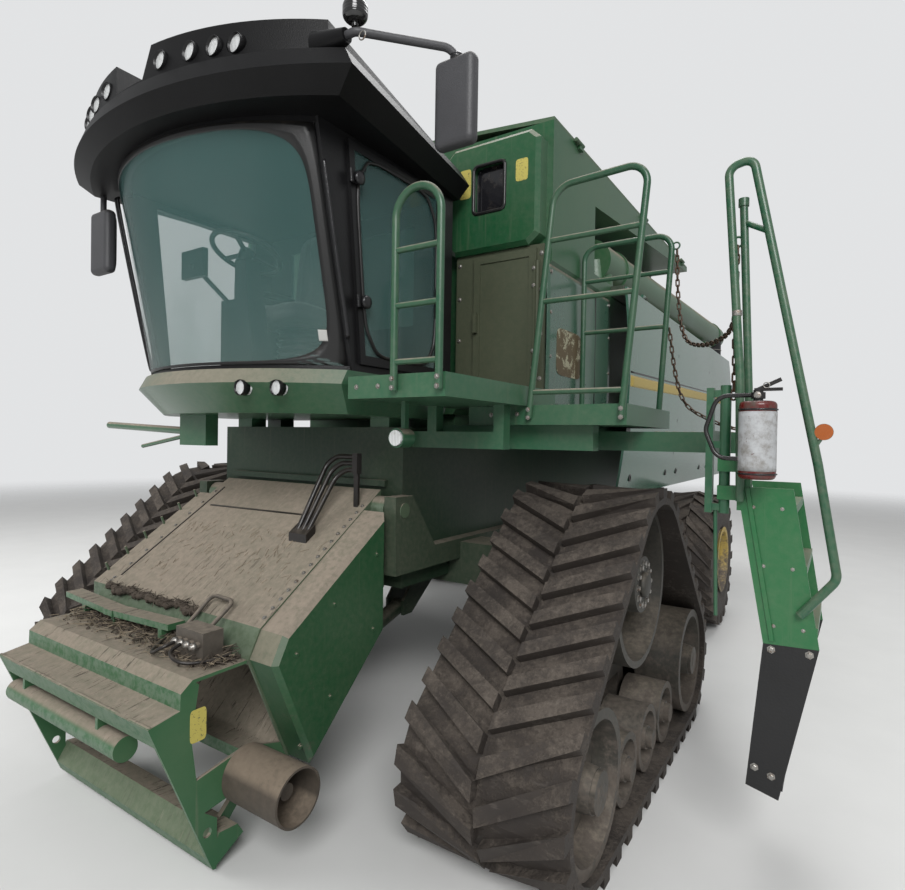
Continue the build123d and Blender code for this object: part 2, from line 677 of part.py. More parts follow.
def shield_axis():
    """(x, z) of the left shield's hinge line, above its head."""
    return TANK_HALF + RAIL_WIDTH + 16, SHIELD_HEAD_Z + 15


def tank_cover():
    """Left half of the tank's roof, hinged along its outer edge."""
    slope = ((TANK_HALF, TANK_TOP_Z + SEAT), (TANK_HALF, TANK_TOP_Z + 20), (8, TANK_TOP_Z + 150),
             (8, TANK_TOP_Z + 130), (TANK_HALF - 60, TANK_TOP_Z + SEAT))
    sheet = prism_y(slope, TANK_FRONT_Y + 5, TANK_REAR_Y - 5)
    x, z = cover_axis()
    return fused([sheet, *hinge_half(x, z, COVER_HINGES, 0, (TANK_HALF - 4, x, TANK_TOP_Z + 2, z))])


def hood_case(wall):
    """The hood's outer form, or its inside when it is brought in by a wall."""
    outline = (
        (TANK_REAR_Y + 10, BODY_TOP_Z + SEAT), (TANK_REAR_Y + 10, HOOD_TOP_Z),
        (HOOD_BREAK_Y, HOOD_TOP_Z - 40), (HOOD_SLOPE_Y, HOOD_SLOPE_Z), (HOOD_REAR_Y, HOOD_TAIL_Z),
        (HOOD_REAR_Y, HOOD_SILL_Z), (BODY_REAR_Y + 700, HOOD_FLOOR_Z), (BODY_REAR_Y + 10, HOOD_FLOOR_Z),
        (BODY_REAR_Y + 10, BODY_TOP_Z + SEAT),
    )
    section = (
        (-HOOD_HALF, HOOD_FLOOR_Z - 150), (HOOD_HALF, HOOD_FLOOR_Z - 150),
        (HOOD_HALF, HOOD_SHOULDER_Z - 120), (TANK_HALF, HOOD_SHOULDER_Z - 120),
        (TANK_HALF, HOOD_SHOULDER_Z), (RECESS_X, HOOD_SHOULDER_Z), (RECESS_X, HOOD_TOP_Z + 10),
        (-RECESS_X, HOOD_TOP_Z + 10), (-RECESS_X, HOOD_SHOULDER_Z), (-TANK_HALF, HOOD_SHOULDER_Z),
        (-TANK_HALF, HOOD_SHOULDER_Z - 120), (-HOOD_HALF, HOOD_SHOULDER_Z - 120),
    )
    side = make_face(Polyline(*outline, close=True))
    front = make_face(Polyline(*section, close=True))
    if wall:
        side = offset(side, -wall, kind=Kind.INTERSECTION)
        front = offset(front, -wall, kind=Kind.INTERSECTION)
    along = extrude(Plane.YZ.offset(-TANK_HALF - 50) * side, 2 * TANK_HALF + 100)
    across = extrude(Plane.XZ * front, -HOOD_REAR_Y - 200)
    return along & across


def rear_hood():
    """Engine bay and straw hood as one folded case, with the cradle that the auger lies on."""
    cradle_y = AUGER_Y + CRADLE_REACH
    fall = (HOOD_TOP_Z - 40 - HOOD_SLOPE_Z) / (HOOD_SLOPE_Y - HOOD_BREAK_Y)
    foot_z = min(HOOD_SHOULDER_Z, HOOD_TOP_Z - 40 - (cradle_y + 30 - HOOD_BREAK_Y) * fall) - 20
    cradle_top = AUGER_Z + CRADLE_REACH * sin(radians(AUGER_RISE)) - AUGER_R / cos(radians(AUGER_RISE)) - 2
    cradle = prism_y(((AUGER_X - 60, foot_z), (AUGER_X + 60, foot_z),
                      (AUGER_X + 110, cradle_top), (AUGER_X - 110, cradle_top)), cradle_y - 30, cradle_y + 30)
    return fused([hood_case(0) - hood_case(SHEET), cradle])


def engine():
    """The engine as one plain block on the body's top."""
    return block(-420, 420, ENGINE_Y, ENGINE_Y + ENGINE_LENGTH, BODY_TOP_Z + 2 * SEAT + SHEET, ENGINE_TOP_Z)


def chopper_case():
    """Straw chopper's housing under the hood's tail."""
    outline = (
        (BODY_REAR_Y + 60, HOOD_FLOOR_Z - SEAT), (BODY_REAR_Y + 30, HOOD_FLOOR_Z - 170),
        (BODY_REAR_Y + 160, HOOD_FLOOR_Z - 340), (BODY_REAR_Y + 420, HOOD_FLOOR_Z - 390),
        (BODY_REAR_Y + 640, HOOD_FLOOR_Z - 300), (BODY_REAR_Y + 690, HOOD_FLOOR_Z - SEAT),
    )
    return shell_x(outline, -700, 700, SHEET)


def spreader():
    """Left spreading disc with its vanes, on an upright shaft below the hood."""
    x, y, z = SPREADER_X, SPREADER_Y, SPREADER_Z
    climb = (HOOD_SILL_Z - HOOD_FLOOR_Z) / (HOOD_REAR_Y - BODY_REAR_Y - 700)
    hood_z = HOOD_FLOOR_Z + (y - BODY_REAR_Y - 700) * climb
    pieces = [rod_z(x, y, z, z + 14, SPREADER_R), rod_z(x, y, z + 10, hood_z - 8, 30)]
    for k in range(6):
        vane = block(60, SPREADER_R - 5, -5, 5, z + 10, z + 80)
        pieces.append(Pos(x, y, 0) * Rot(0, 0, 60 * k) * vane)
    return fused(pieces)


def shield_rail():
    """Left rail that the side shield hangs from, along the tank and the hood."""
    x0, top = TANK_HALF + SEAT, RECESS_Z - 10
    rail = block(x0, x0 + RAIL_WIDTH, SHIELD_FRONT_Y - 40, SHIELD_REAR_Y - 300, top - 70, top)
    x, z = shield_axis()
    leaf = (x0 + RAIL_WIDTH - 30, x, top - 1, z)
    return fused([rail, *hinge_half(x, z, SHIELD_HINGES, HINGE_LENGTH + 5, leaf)])


def side_shield():
    """Left shield: one bowed sheet hanging from the rail."""
    x0 = TANK_HALF + RAIL_WIDTH + 2 * SEAT
    mid_z = (SHIELD_FOOT_Z + SHIELD_HEAD_Z) / 2
    foot_in, mid_in, head_in = (x0 - 55, SHIELD_FOOT_Z), (x0 + 32, mid_z), (x0, SHIELD_HEAD_Z)
    foot_out, mid_out, head_out = [(x + SHIELD_THICK_X, z) for x, z in (foot_in, mid_in, head_in)]
    edge = [
        ThreePointArc(foot_out, mid_out, head_out), Line(head_out, head_in),
        ThreePointArc(head_in, mid_in, foot_in), Line(foot_in, foot_out),
    ]
    sheet = extrude(Plane.XZ.offset(-SHIELD_FRONT_Y) * make_face(edge), -(SHIELD_REAR_Y - SHIELD_FRONT_Y))
    x, z = shield_axis()
    return fused([sheet, *hinge_half(x, z, SHIELD_HINGES, 0, (head_in[0] + 6, x, SHIELD_HEAD_Z - 5, z))])


# Unloading auger

AUGER_LEAN_AXIS = (-sin(radians(AUGER_LEAN)), 0, cos(radians(AUGER_LEAN)))
AUGER_PIVOT = (AUGER_X, AUGER_Y, AUGER_Z)


def auger_riser():
    """Upright tube on the recess floor, leaning inward, up to the turning collar."""
    up = Vector(*AUGER_LEAN_AXIS)
    top = Vector(*AUGER_PIVOT) - up * (AUGER_COLLAR + SEAT)
    tube = rod_between(top - up * 40, top, AUGER_COLLAR_R)
    under = block(AUGER_X - 400, AUGER_X + 400, AUGER_Y - 400, AUGER_Y + 400, RECESS_Z - 400, RECESS_Z + SEAT)
    return tube - under


def auger_tube():
    """Turning elbow and long delivery tube, folded back along the tank."""
    rise = radians(AUGER_RISE)
    pivot, up = Vector(*AUGER_PIVOT), Vector(*AUGER_LEAN_AXIS)
    along = Vector(0, cos(rise), sin(rise))
    tube = rod_between(pivot - along * AUGER_HEEL, pivot + along * AUGER_LENGTH, AUGER_R)
    collar = rod_between(pivot - up * AUGER_COLLAR, pivot, AUGER_COLLAR_R)
    rings = [
        rod_between(pivot + along * at, pivot + along * (at + 25), AUGER_R + 12)
        for at in (AUGER_HEEL + 200, AUGER_LENGTH - 370)
    ]
    return fused([tube, collar, *rings])


def auger_spout():
    """Rubber chute under the tube's end."""
    rise = radians(AUGER_RISE)
    y = AUGER_Y + (AUGER_LENGTH - 170) * cos(rise)
    z = AUGER_Z + (AUGER_LENGTH - 170) * sin(rise)
    chute = rod_z(AUGER_X, y, z - AUGER_R - 170, z, AUGER_R - 15)
    barrel = rod_between((AUGER_X, y - 400 * cos(rise), z - 400 * sin(rise)),
                         (AUGER_X, y + 400 * cos(rise), z + 400 * sin(rise)), AUGER_R + SEAT)
    return chute - barrel


# Cab

def arc_y(x, half, corner_y, bulge):
    """Y on a plan arc that bulges forward between two corners."""
    r = (half ** 2 + bulge ** 2) / (2 * bulge)
    return corner_y + (r - bulge) - (r ** 2 - x ** 2) ** 0.5


def arc_sector(half, corner_y, bulge, thick, z):
    """A band of one thickness along that arc, flat at a height."""
    r = (half ** 2 + bulge ** 2) / (2 * bulge)
    centre = corner_y + r - bulge
    a = asin(half / r)
    inner = r - thick
    outer_arc = ThreePointArc((-half, corner_y), (0, corner_y - bulge), (half, corner_y))
    inner_arc = ThreePointArc((inner * sin(a), centre - inner * cos(a)), (0, centre - inner),
                              (-inner * sin(a), centre - inner * cos(a)))
    edges = [outer_arc, Line(outer_arc @ 1, inner_arc @ 0), inner_arc, Line(inner_arc @ 1, outer_arc @ 0)]
    return Plane.XY.offset(z) * make_face(edges)


def nose_plan(half, corner_y, bulge, rear_half, rear_y, z):
    """A plan outline with a bowed front."""
    front = ThreePointArc((-half, corner_y), (0, corner_y - bulge), (half, corner_y))
    sides = Polyline((half, corner_y), (rear_half, rear_y), (-rear_half, rear_y), (-half, corner_y))
    return Plane.XY.offset(z) * make_face([front, sides])


def post_front_y(z):
    """Front face of the leaning front post at a height."""
    return GLASS_FOOT_Y + (GLASS_HEAD_Y - GLASS_FOOT_Y) * (z - GLASS_FOOT_Z) / (GLASS_HEAD_Z - GLASS_FOOT_Z)


def door_front_y(z):
    """Edge between the front post and the door at a height."""
    return GLASS_FOOT_Y + POST - (z - GLASS_FOOT_Z) * sin(radians(DOOR_LEAN))


def cab_base():
    """Cab floor and the nose below the windshield."""
    front = GLASS_FOOT_Y - NOSE_OVERHANG
    top_z = GLASS_FOOT_Z - SEAT
    top = nose_plan(CAB_HALF, front + 40, GLASS_FOOT_BULGE, CAB_HALF, CAB_REAR_Y, top_z)
    waist = nose_plan(CAB_HALF, front, GLASS_FOOT_BULGE, CAB_HALF, CAB_REAR_Y, top_z - 70)
    foot = nose_plan(CAB_HALF - 60, front + 110, GLASS_FOOT_BULGE - 30, CAB_HALF - 60, CAB_REAR_Y,
                     CAB_FLOOR_Z)
    feet = [
        block(x - 70, x + 70, y - 60, y + 60, BODY_TOP_Z + SEAT, CAB_FLOOR_Z + 1)
        for x in (-CAB_HALF + 230, CAB_HALF - 230) for y in (BODY_FRONT_Y + 70, CAB_REAR_Y - 70)
    ]
    arms = [
        block(-440, -190, NOSE_ARM_Y - 40, NOSE_ARM_Y + 40, CAB_FLOOR_Z - 175, CAB_FLOOR_Z + 1),
        rod_between((-400, NOSE_ARM_Y, CAB_FLOOR_Z - 93), (-1313, NOSE_ARM_Y, CAB_FLOOR_Z - 58), 22),
        rod_between((-400, NOSE_ARM_Y, CAB_FLOOR_Z - 115), (-905, NOSE_ARM_Y, CAB_FLOOR_Z - 192), 12),
    ]
    nose = loft([foot, waist]).fuse(loft([waist, top]), *feet, *arms)
    pockets = []
    for x in NOSE_LAMPS:
        y = arc_y(x, CAB_HALF, front, GLASS_FOOT_BULGE)
        pockets.append(rod_y(x, y - 60, y + 45, top_z - 95, NOSE_LAMP_R + 4))
    return nose.cut(*pockets)


def cab_frame():
    """Welded posts, sills, roof ring and rear wall, with the strip that the windshield stands on."""
    z0, z1 = GLASS_FOOT_Z, GLASS_HEAD_Z
    pieces = []
    for side in (-1, 1):
        low, high = sorted((side * (CAB_HALF - POST), side * CAB_HALF))
        front_post = ((post_front_y(z0), z0), (door_front_y(z0), z0), (door_front_y(z1), z1),
                      (post_front_y(z1), z1))
        pieces.append(prism_x(front_post, low, high))
        pieces.append(block(low, high, CAB_REAR_POST_Y, CAB_REAR_Y, z0, z1))
        pieces.append(block(low, high, post_front_y(z0) + 10, CAB_REAR_Y, z0, z0 + 30))
        pieces.append(block(low, high, post_front_y(z1 - 40) + 5, CAB_REAR_Y, z1 - 40, z1))
    pieces.append(block(-CAB_HALF, CAB_HALF, CAB_REAR_Y - 25, CAB_REAR_Y, z0, z1)
                  - block(-560, 560, CAB_REAR_Y - 30, CAB_REAR_Y + 5, z0 + 380, z1 - 120))
    strip = arc_sector(CAB_HALF - 10, post_front_y(z0) + 2, GLASS_FOOT_BULGE, 30, z0)
    pieces.append(extrude(strip, 22))
    header = arc_sector(CAB_HALF - 5, post_front_y(z1) + 10, GLASS_HEAD_BULGE, 60, z1 - 25)
    pieces.append(extrude(header, 25))
    return fused(pieces)


def pane_outline(margin, front_z0, front_z1):
    """(y, z) outline of a side pane, kept in from the door's edges by a margin."""
    return (
        (door_front_y(front_z0) + margin, front_z0), (door_front_y(front_z1) + margin, front_z1),
        (CAB_REAR_POST_Y - margin, front_z1), (CAB_REAR_POST_Y - margin, front_z0),
    )


def windshield():
    """One bowed pane that leans forward, between the strip and the header."""
    z0, z1 = GLASS_FOOT_Z + 22 + SEAT, GLASS_HEAD_Z - 25 - SEAT
    half = CAB_HALF - 25
    edges = []
    for z, bulge in ((z0, GLASS_FOOT_BULGE), (z1, GLASS_HEAD_BULGE)):
        r = (half ** 2 + bulge ** 2) / (2 * bulge)
        back = GLASS * cos(asin(half / r)) + 2 * SEAT
        edges.append(arc_sector(half, post_front_y(z) - back, bulge, GLASS, z))
    return loft(edges)


def cab_glass():
    """Windshield, fixed right pane and rear pane."""
    z0, z1 = GLASS_FOOT_Z + 30 + SEAT, GLASS_HEAD_Z - 40 - SEAT
    right = prism_x(pane_outline(SEAT, z0, z1), -CAB_HALF + 12, -CAB_HALF + 12 + GLASS)
    rear = block(-560 + SEAT, 560 - SEAT, CAB_REAR_Y - 20, CAB_REAR_Y - 20 + GLASS,
                 GLASS_FOOT_Z + 380 + SEAT, GLASS_HEAD_Z - 120 - SEAT)
    return Compound(children=[windshield(), right, rear])


def cab_door():
    """Left door: a welded ring lying on the posts, with its hinge barrels and handle."""
    z0, z1 = GLASS_FOOT_Z + DOOR_FOOT, GLASS_HEAD_Z - DOOR_HEAD
    x0, x1 = CAB_HALF + SEAT, CAB_HALF + SEAT + DOOR_THICK
    outer = pane_outline(-12, z0, z1)
    hole = pane_outline(25, z0 + 45, z1 - 40)
    ring = prism_x(outer, x0, x1) - prism_x(hole, x0 - 1, x1 + 1)
    handle = block(x1 - 1, x1 + 28, CAB_REAR_POST_Y - 40, CAB_REAR_POST_Y - 15, z0 + 330, z0 + 500)
    pieces = [ring, handle]
    for z in DOOR_HINGE_Z:
        centre = Vector(DOOR_AXIS_X, door_front_y(z) - 22, z)
        up = Vector(0, -sin(radians(DOOR_LEAN)), cos(radians(DOOR_LEAN)))
        pieces.append(rod_between(centre - up * 30, centre + up * 30, 11))
        pieces.append(block(x1 - 2, DOOR_AXIS_X + 4, centre.Y, centre.Y + 60, z - 22, z + 22))
    return fused(pieces)


def door_glass():
    z0, z1 = GLASS_FOOT_Z + DOOR_FOOT + 45 + SEAT, GLASS_HEAD_Z - DOOR_HEAD - 40 - SEAT
    return prism_x(pane_outline(25 + SEAT, z0, z1), CAB_HALF + 6, CAB_HALF + 6 + GLASS)


def roof_lamp_spot(x):
    """Where the brow's front face is at a lamp."""
    return arc_y(x, ROOF_BROW_HALF, ROOF_BROW_Y + 8, ROOF_BROW_BULGE)


def cab_roof():
    """Moulded roof: a skirt wider than the cab and a raised brow in two halves with the lamps' pockets."""
    skirt_low = nose_plan(ROOF_HALF - 110, ROOF_FRONT_Y + 40, ROOF_BULGE - 20, CAB_HALF + 30,
                          CAB_REAR_Y + 20, GLASS_HEAD_Z + SEAT)
    skirt_mid = nose_plan(ROOF_HALF, ROOF_FRONT_Y, ROOF_BULGE, CAB_HALF + 90, CAB_REAR_Y + 40,
                          GLASS_HEAD_Z + 80)
    skirt_top = nose_plan(ROOF_HALF - 50, ROOF_FRONT_Y + 10, ROOF_BULGE - 20, CAB_HALF + 40,
                          CAB_REAR_Y + 20, ROOF_SKIRT_Z)
    brow_low = nose_plan(ROOF_BROW_HALF, ROOF_BROW_Y, ROOF_BROW_BULGE, CAB_HALF - 20,
                         CAB_REAR_Y - 20, ROOF_SKIRT_Z - 10)
    brow_top = nose_plan(ROOF_BROW_HALF - 20, ROOF_BROW_Y + 10, ROOF_BROW_BULGE - 7, CAB_HALF - 90,
                         CAB_REAR_Y - 80, ROOF_TOP_Z)
    boss_x = ROOF_BROW_HALF - 60
    boss = Pos(boss_x, ROOF_BROW_Y, MIRROR_ARM_Z) * Rot(0, 90, 0) * Cone(
        64, 30, BOSS_END_X - boss_x, align=STANDING)
    roof = loft([skirt_low, skirt_mid]).fuse(loft([skirt_mid, skirt_top]), loft([brow_low, brow_top]), boss)
    front, low, high = ROOF_BROW_Y - ROOF_BROW_BULGE, ROOF_SKIRT_Z + 15, ROOF_TOP_Z + 1
    dip = prism_y(((-ROOF_DIP_HALF, low), (ROOF_DIP_HALF, low), (ROOF_DIP_HALF + 40, high),
                   (-ROOF_DIP_HALF - 40, high)), front - 20, front + 330)
    pockets = []
    for x in ROOF_LAMPS:
        y = roof_lamp_spot(x)
        pockets.append(rod_y(x, y - 120, y + 50, ROOF_LAMP_Z, ROOF_LAMP_R + 4))
    return roof.cut(dip, *pockets)


def cab_lamps():
    """Round work lamps in the brow and in the nose, and the one under the walkway."""
    lenses = []
    for x in ROOF_LAMPS:
        y = roof_lamp_spot(x)
        lenses.append(rod_y(x, y, y + 50 - SEAT, ROOF_LAMP_Z, ROOF_LAMP_R))
    for x in NOSE_LAMPS:
        y = arc_y(x, CAB_HALF, GLASS_FOOT_Y - NOSE_OVERHANG, GLASS_FOOT_BULGE)
        lenses.append(rod_y(x, y + 5, y + 45 - SEAT, GLASS_FOOT_Z - SEAT - 95, NOSE_LAMP_R))
    x, y, z = WALK_LAMP
    lenses.append(rod_y(x, y, y + 40, z, WALK_LAMP_R))
    return Compound(children=lenses)


def mirror_head():
    return fillet(Box(MIRROR_W, 70, MIRROR_H).edges(), 30)


def mirrors():
    """Left mirror on a bent arm from the roof's boss, right mirror on a stem under the roof's wing."""
    x, y, z = MIRROR_LEFT
    start = BOSS_END_X + SEAT
    points = [(start, ROOF_BROW_Y, MIRROR_ARM_Z), (start + 45, ROOF_BROW_Y, MIRROR_ARM_Z),
              (x, y, MIRROR_ARM_Z), (x, y, z + MIRROR_H / 2 - 60)]
    left = fused([Pos(x, y, z) * mirror_head(), tube_along(points, MIRROR_ARM_R, [40, 60])])
    x, y, z = MIRROR_RIGHT
    stem = rod_z(x, y, z + MIRROR_H / 2 - 20, GLASS_HEAD_Z, MIRROR_ARM_R)
    right = fused([Pos(x, y, z) * mirror_head(), stem])
    return Compound(children=[left, right])


def beacon():
    """Warning lamp on a stem over the left mirror's arm: black foot and clear dome."""
    x, y, z = BEACON_X, ROOF_BROW_Y, MIRROR_ARM_Z + MIRROR_ARM_R + SEAT
    stem = rod_z(x, y, z, z + 25, 14)
    foot = fillet(rod_z(x, y, z + 20, z + 105, 52).edges(), 30)
    dome = fillet(rod_z(x, y, z + 90, z + 235, 42).edges().sort_by(Axis.Z)[-1], 25)
    return fused([stem, foot, dome])


def seat():
    """Operator's seat: pedestal, cushion and back."""
    z = GLASS_FOOT_Z
    pieces = [
        block(-170, 170, -820, -480, z, z + 340),
        fillet(block(-255, 255, -930, -420, z + 330, z + 470).edges(), 40),
        fillet(block(-245, 245, -520, -390, z + 400, z + 1010).edges(), 40),
    ]
    return fused(pieces)


def steering_column():
    """Column with its wheel in front of the seat."""
    foot, top = Vector(0, -1010, GLASS_FOOT_Z), Vector(0, -1075, GLASS_FOOT_Z + 700)
    up = (top - foot).normalized()
    lean = Vector(0, 0.38, 0.92).normalized()
    column = loft([Plane(origin=foot) * Rectangle(170, 150), Plane(origin=top - up * 40) * Rectangle(90, 90)])
    wheel = Plane(origin=top, z_dir=lean) * Torus(190, 14)
    hub = rod_between(top - lean * 60, top + lean * 18, 40)
    spokes = []
    for a in (90, 210, 330):
        arm = Rot(0, 0, a) * block(0, 185, -12, 12, -6, 6)
        spokes.append(Plane(origin=top, z_dir=lean) * arm)
    return fused([column, hub, wheel, *spokes])


def console():
    """Armrest with its lever on the seat's right, and the display on a post."""
    z = GLASS_FOOT_Z
    pieces = [
        block(-470, -300, -900, -420, z, z + 520),
        rod_z(-385, -840, z + 515, z + 640, 22),
        rod_between((-430, -880, z + 515), (-520, -1040, z + 700), 14),
        block(-640, -420, -1065, -1030, z + 640, z + 810),
    ]
    return fused(pieces)


# Feeder house

def along_line(a, b, share):
    return (a[0] + (b[0] - a[0]) * share, a[1] + (b[1] - a[1]) * share)


def feeder_outline():
    return (*FEEDER_TOP, *FEEDER_BELLY)


def feeder_top_z(y):
    """Height of the feeder's long top face."""
    (y0, z0), (y1, z1) = FEEDER_TOP[:2]
    return z0 + (z1 - z0) * (y - y0) / (y1 - y0)


def mouth_y(z):
    """Front edge of the feeder's mouth at a height."""
    (y0, z0), (y1, z1) = FEEDER_TOP[2], FEEDER_BELLY[0]
    return y0 + (y1 - y0) * (z - z0) / (z1 - z0)


def feeder_house():
    """Sloping case that carries the crop up, open at its mouth, with pivot pins and cylinder ears."""
    case = shell_x(feeder_outline(), -FEEDER_HALF, FEEDER_HALF, SHEET)
    top, low = FEEDER_TOP[2], FEEDER_BELLY[0]
    length = hypot(low[0] - top[0], low[1] - top[1])
    e = ((low[0] - top[0]) / length, (low[1] - top[1]) / length)
    n = (e[1], -e[0])
    a = (top[0] + e[0] * 30, top[1] + e[1] * 30)
    b = (low[0] - e[0] * 30, low[1] - e[1] * 30)
    out, inward = 40, -SHEET - 5
    mouth = prism_x(
        ((a[0] + n[0] * out, a[1] + n[1] * out), (b[0] + n[0] * out, b[1] + n[1] * out),
         (b[0] + n[0] * inward, b[1] + n[1] * inward), (a[0] + n[0] * inward, a[1] + n[1] * inward)),
        -FEEDER_HALF + SHEET, FEEDER_HALF - SHEET)
    pieces = [case - mouth]
    for side in (-1, 1):
        low_x, high_x = sorted((side * (FEEDER_HALF - 1), side * (BODY_HALF + SEAT + 85)))
        pieces.append(rod_x(low_x, high_x, FEEDER_PIVOT_Y, FEEDER_PIVOT_Z, FEEDER_PIN_R))
        low_x, high_x = sorted((side * (FEEDER_HALF - 1), side * (FEEDER_HALF + 90)))
        pieces.append(rod_x(low_x, high_x, FEEDER_PIVOT_Y, FEEDER_PIVOT_Z, 68))
        for ear in (-1, 1):
            ear_x = side * LIFT_X + ear * 50
            ear_plate = (
                (LIFT_EYE_Y - 50, LIFT_EYE_Z - 50), (LIFT_EYE_Y + 50, LIFT_EYE_Z - 50),
                (LIFT_EYE_Y + 130, LIFT_EYE_Z + 180), (LIFT_EYE_Y - 60, LIFT_EYE_Z + 20),
            )
            pieces.append(prism_x(ear_plate, ear_x - 9, ear_x + 9))
    whole = fused(pieces)
    holes = [
        rod_x(side * LIFT_X - 90, side * LIFT_X + 90, LIFT_EYE_Y, LIFT_EYE_Z, LIFT_PIN_R + LIFT_DRIFT)
        for side in (-1, 1)
    ]
    inside = offset(make_face(Polyline(*feeder_outline(), close=True)), -SHEET, kind=Kind.INTERSECTION)
    hollow = extrude(Plane.YZ.offset(-FEEDER_HALF + SHEET) * inside, 2 * (FEEDER_HALF - SHEET))
    return whole.cut(*holes, hollow)


def feeder_shield():
    """Long drive cover on the feeder's left side."""
    top_rear = along_line(FEEDER_TOP[0], FEEDER_TOP[1], SHIELD_START)
    outline = (
        (top_rear[0], top_rear[1] - 6), (FEEDER_TOP[1][0] + 6, FEEDER_TOP[1][1] - 6),
        (FEEDER_TOP[2][0] + 10, FEEDER_TOP[2][1]), (FEEDER_BELLY[0][0] + 5, FEEDER_BELLY[0][1] + 15),
        (top_rear[0], 830),
    )
    x0 = FEEDER_HALF + SEAT
    cover = prism_x(outline, x0, x0 + SHIELD_THICK)
    return chamfer(cover.faces().sort_by(Axis.X)[-1].edges(), 22)


def feeder_tray():
    """Cover along the top edge of the feeder's right side, with its row of hooks."""
    rear = along_line(FEEDER_TOP[0], FEEDER_TOP[1], SHIELD_START)
    front = FEEDER_TOP[1]
    outline = (rear, front, (front[0], front[1] - TRAY_DEEP), (rear[0], rear[1] - TRAY_DEEP))
    x1 = -FEEDER_HALF - SEAT
    x0 = x1 - TRAY_WIDTH
    pieces = [chamfer(prism_x(outline, x0, x1).faces().sort_by(Axis.X)[0].edges(), 12)]
    for k in range(TRAY_HOOKS):
        y, z = along_line(rear, front, (k + 0.3) / TRAY_HOOKS)
        pieces.append(rod_between((x0 + 25, y, z - 5), (x0 + 25, y - 20, z + 45), 7))
    return fused(pieces)


def feeder_hoses():
    """Three hoses from their fitting on the feeder's top up to a clamp on an upright bracket."""
    x1, y1, z1 = HOSE_CLAMP
    lift = SEAT / cos(atan2(FEEDER_TOP[0][1] - FEEDER_TOP[1][1], FEEDER_TOP[0][0] - FEEDER_TOP[1][0]))
    foot_y0, foot_y1 = -1065, -1000
    fitting = ((foot_y0, feeder_top_z(foot_y0) + lift), (foot_y1, feeder_top_z(foot_y1) + lift),
               (foot_y1, feeder_top_z(foot_y1) + 45), (foot_y0, feeder_top_z(foot_y0) + 45))
    bracket = ((y1 - 8, feeder_top_z(y1 - 8) + lift), (y1 + 8, feeder_top_z(y1 + 8) + lift),
               (y1 + 8, z1), (y1 - 8, z1))
    pieces = [
        prism_x(fitting, HOSE_X - 30, HOSE_X + 2 * HOSE_PITCH + 30),
        prism_x(bracket, x1 - 15, x1 + 15),
        block(x1 - 18, x1 + 18, y1 - 20, y1 + 18, z1 - 2 * HOSE_PITCH - 20, z1 + 20),
    ]
    for k in range(3):
        x, z = HOSE_X + k * HOSE_PITCH, z1 - k * HOSE_PITCH
        points = [(x, -1035, feeder_top_z(-1035) + 25), (x + 10, y1, z), (x1, y1, z)]
        pieces.append(tube_along(points, HOSE_R, 90))
    return fused(pieces)


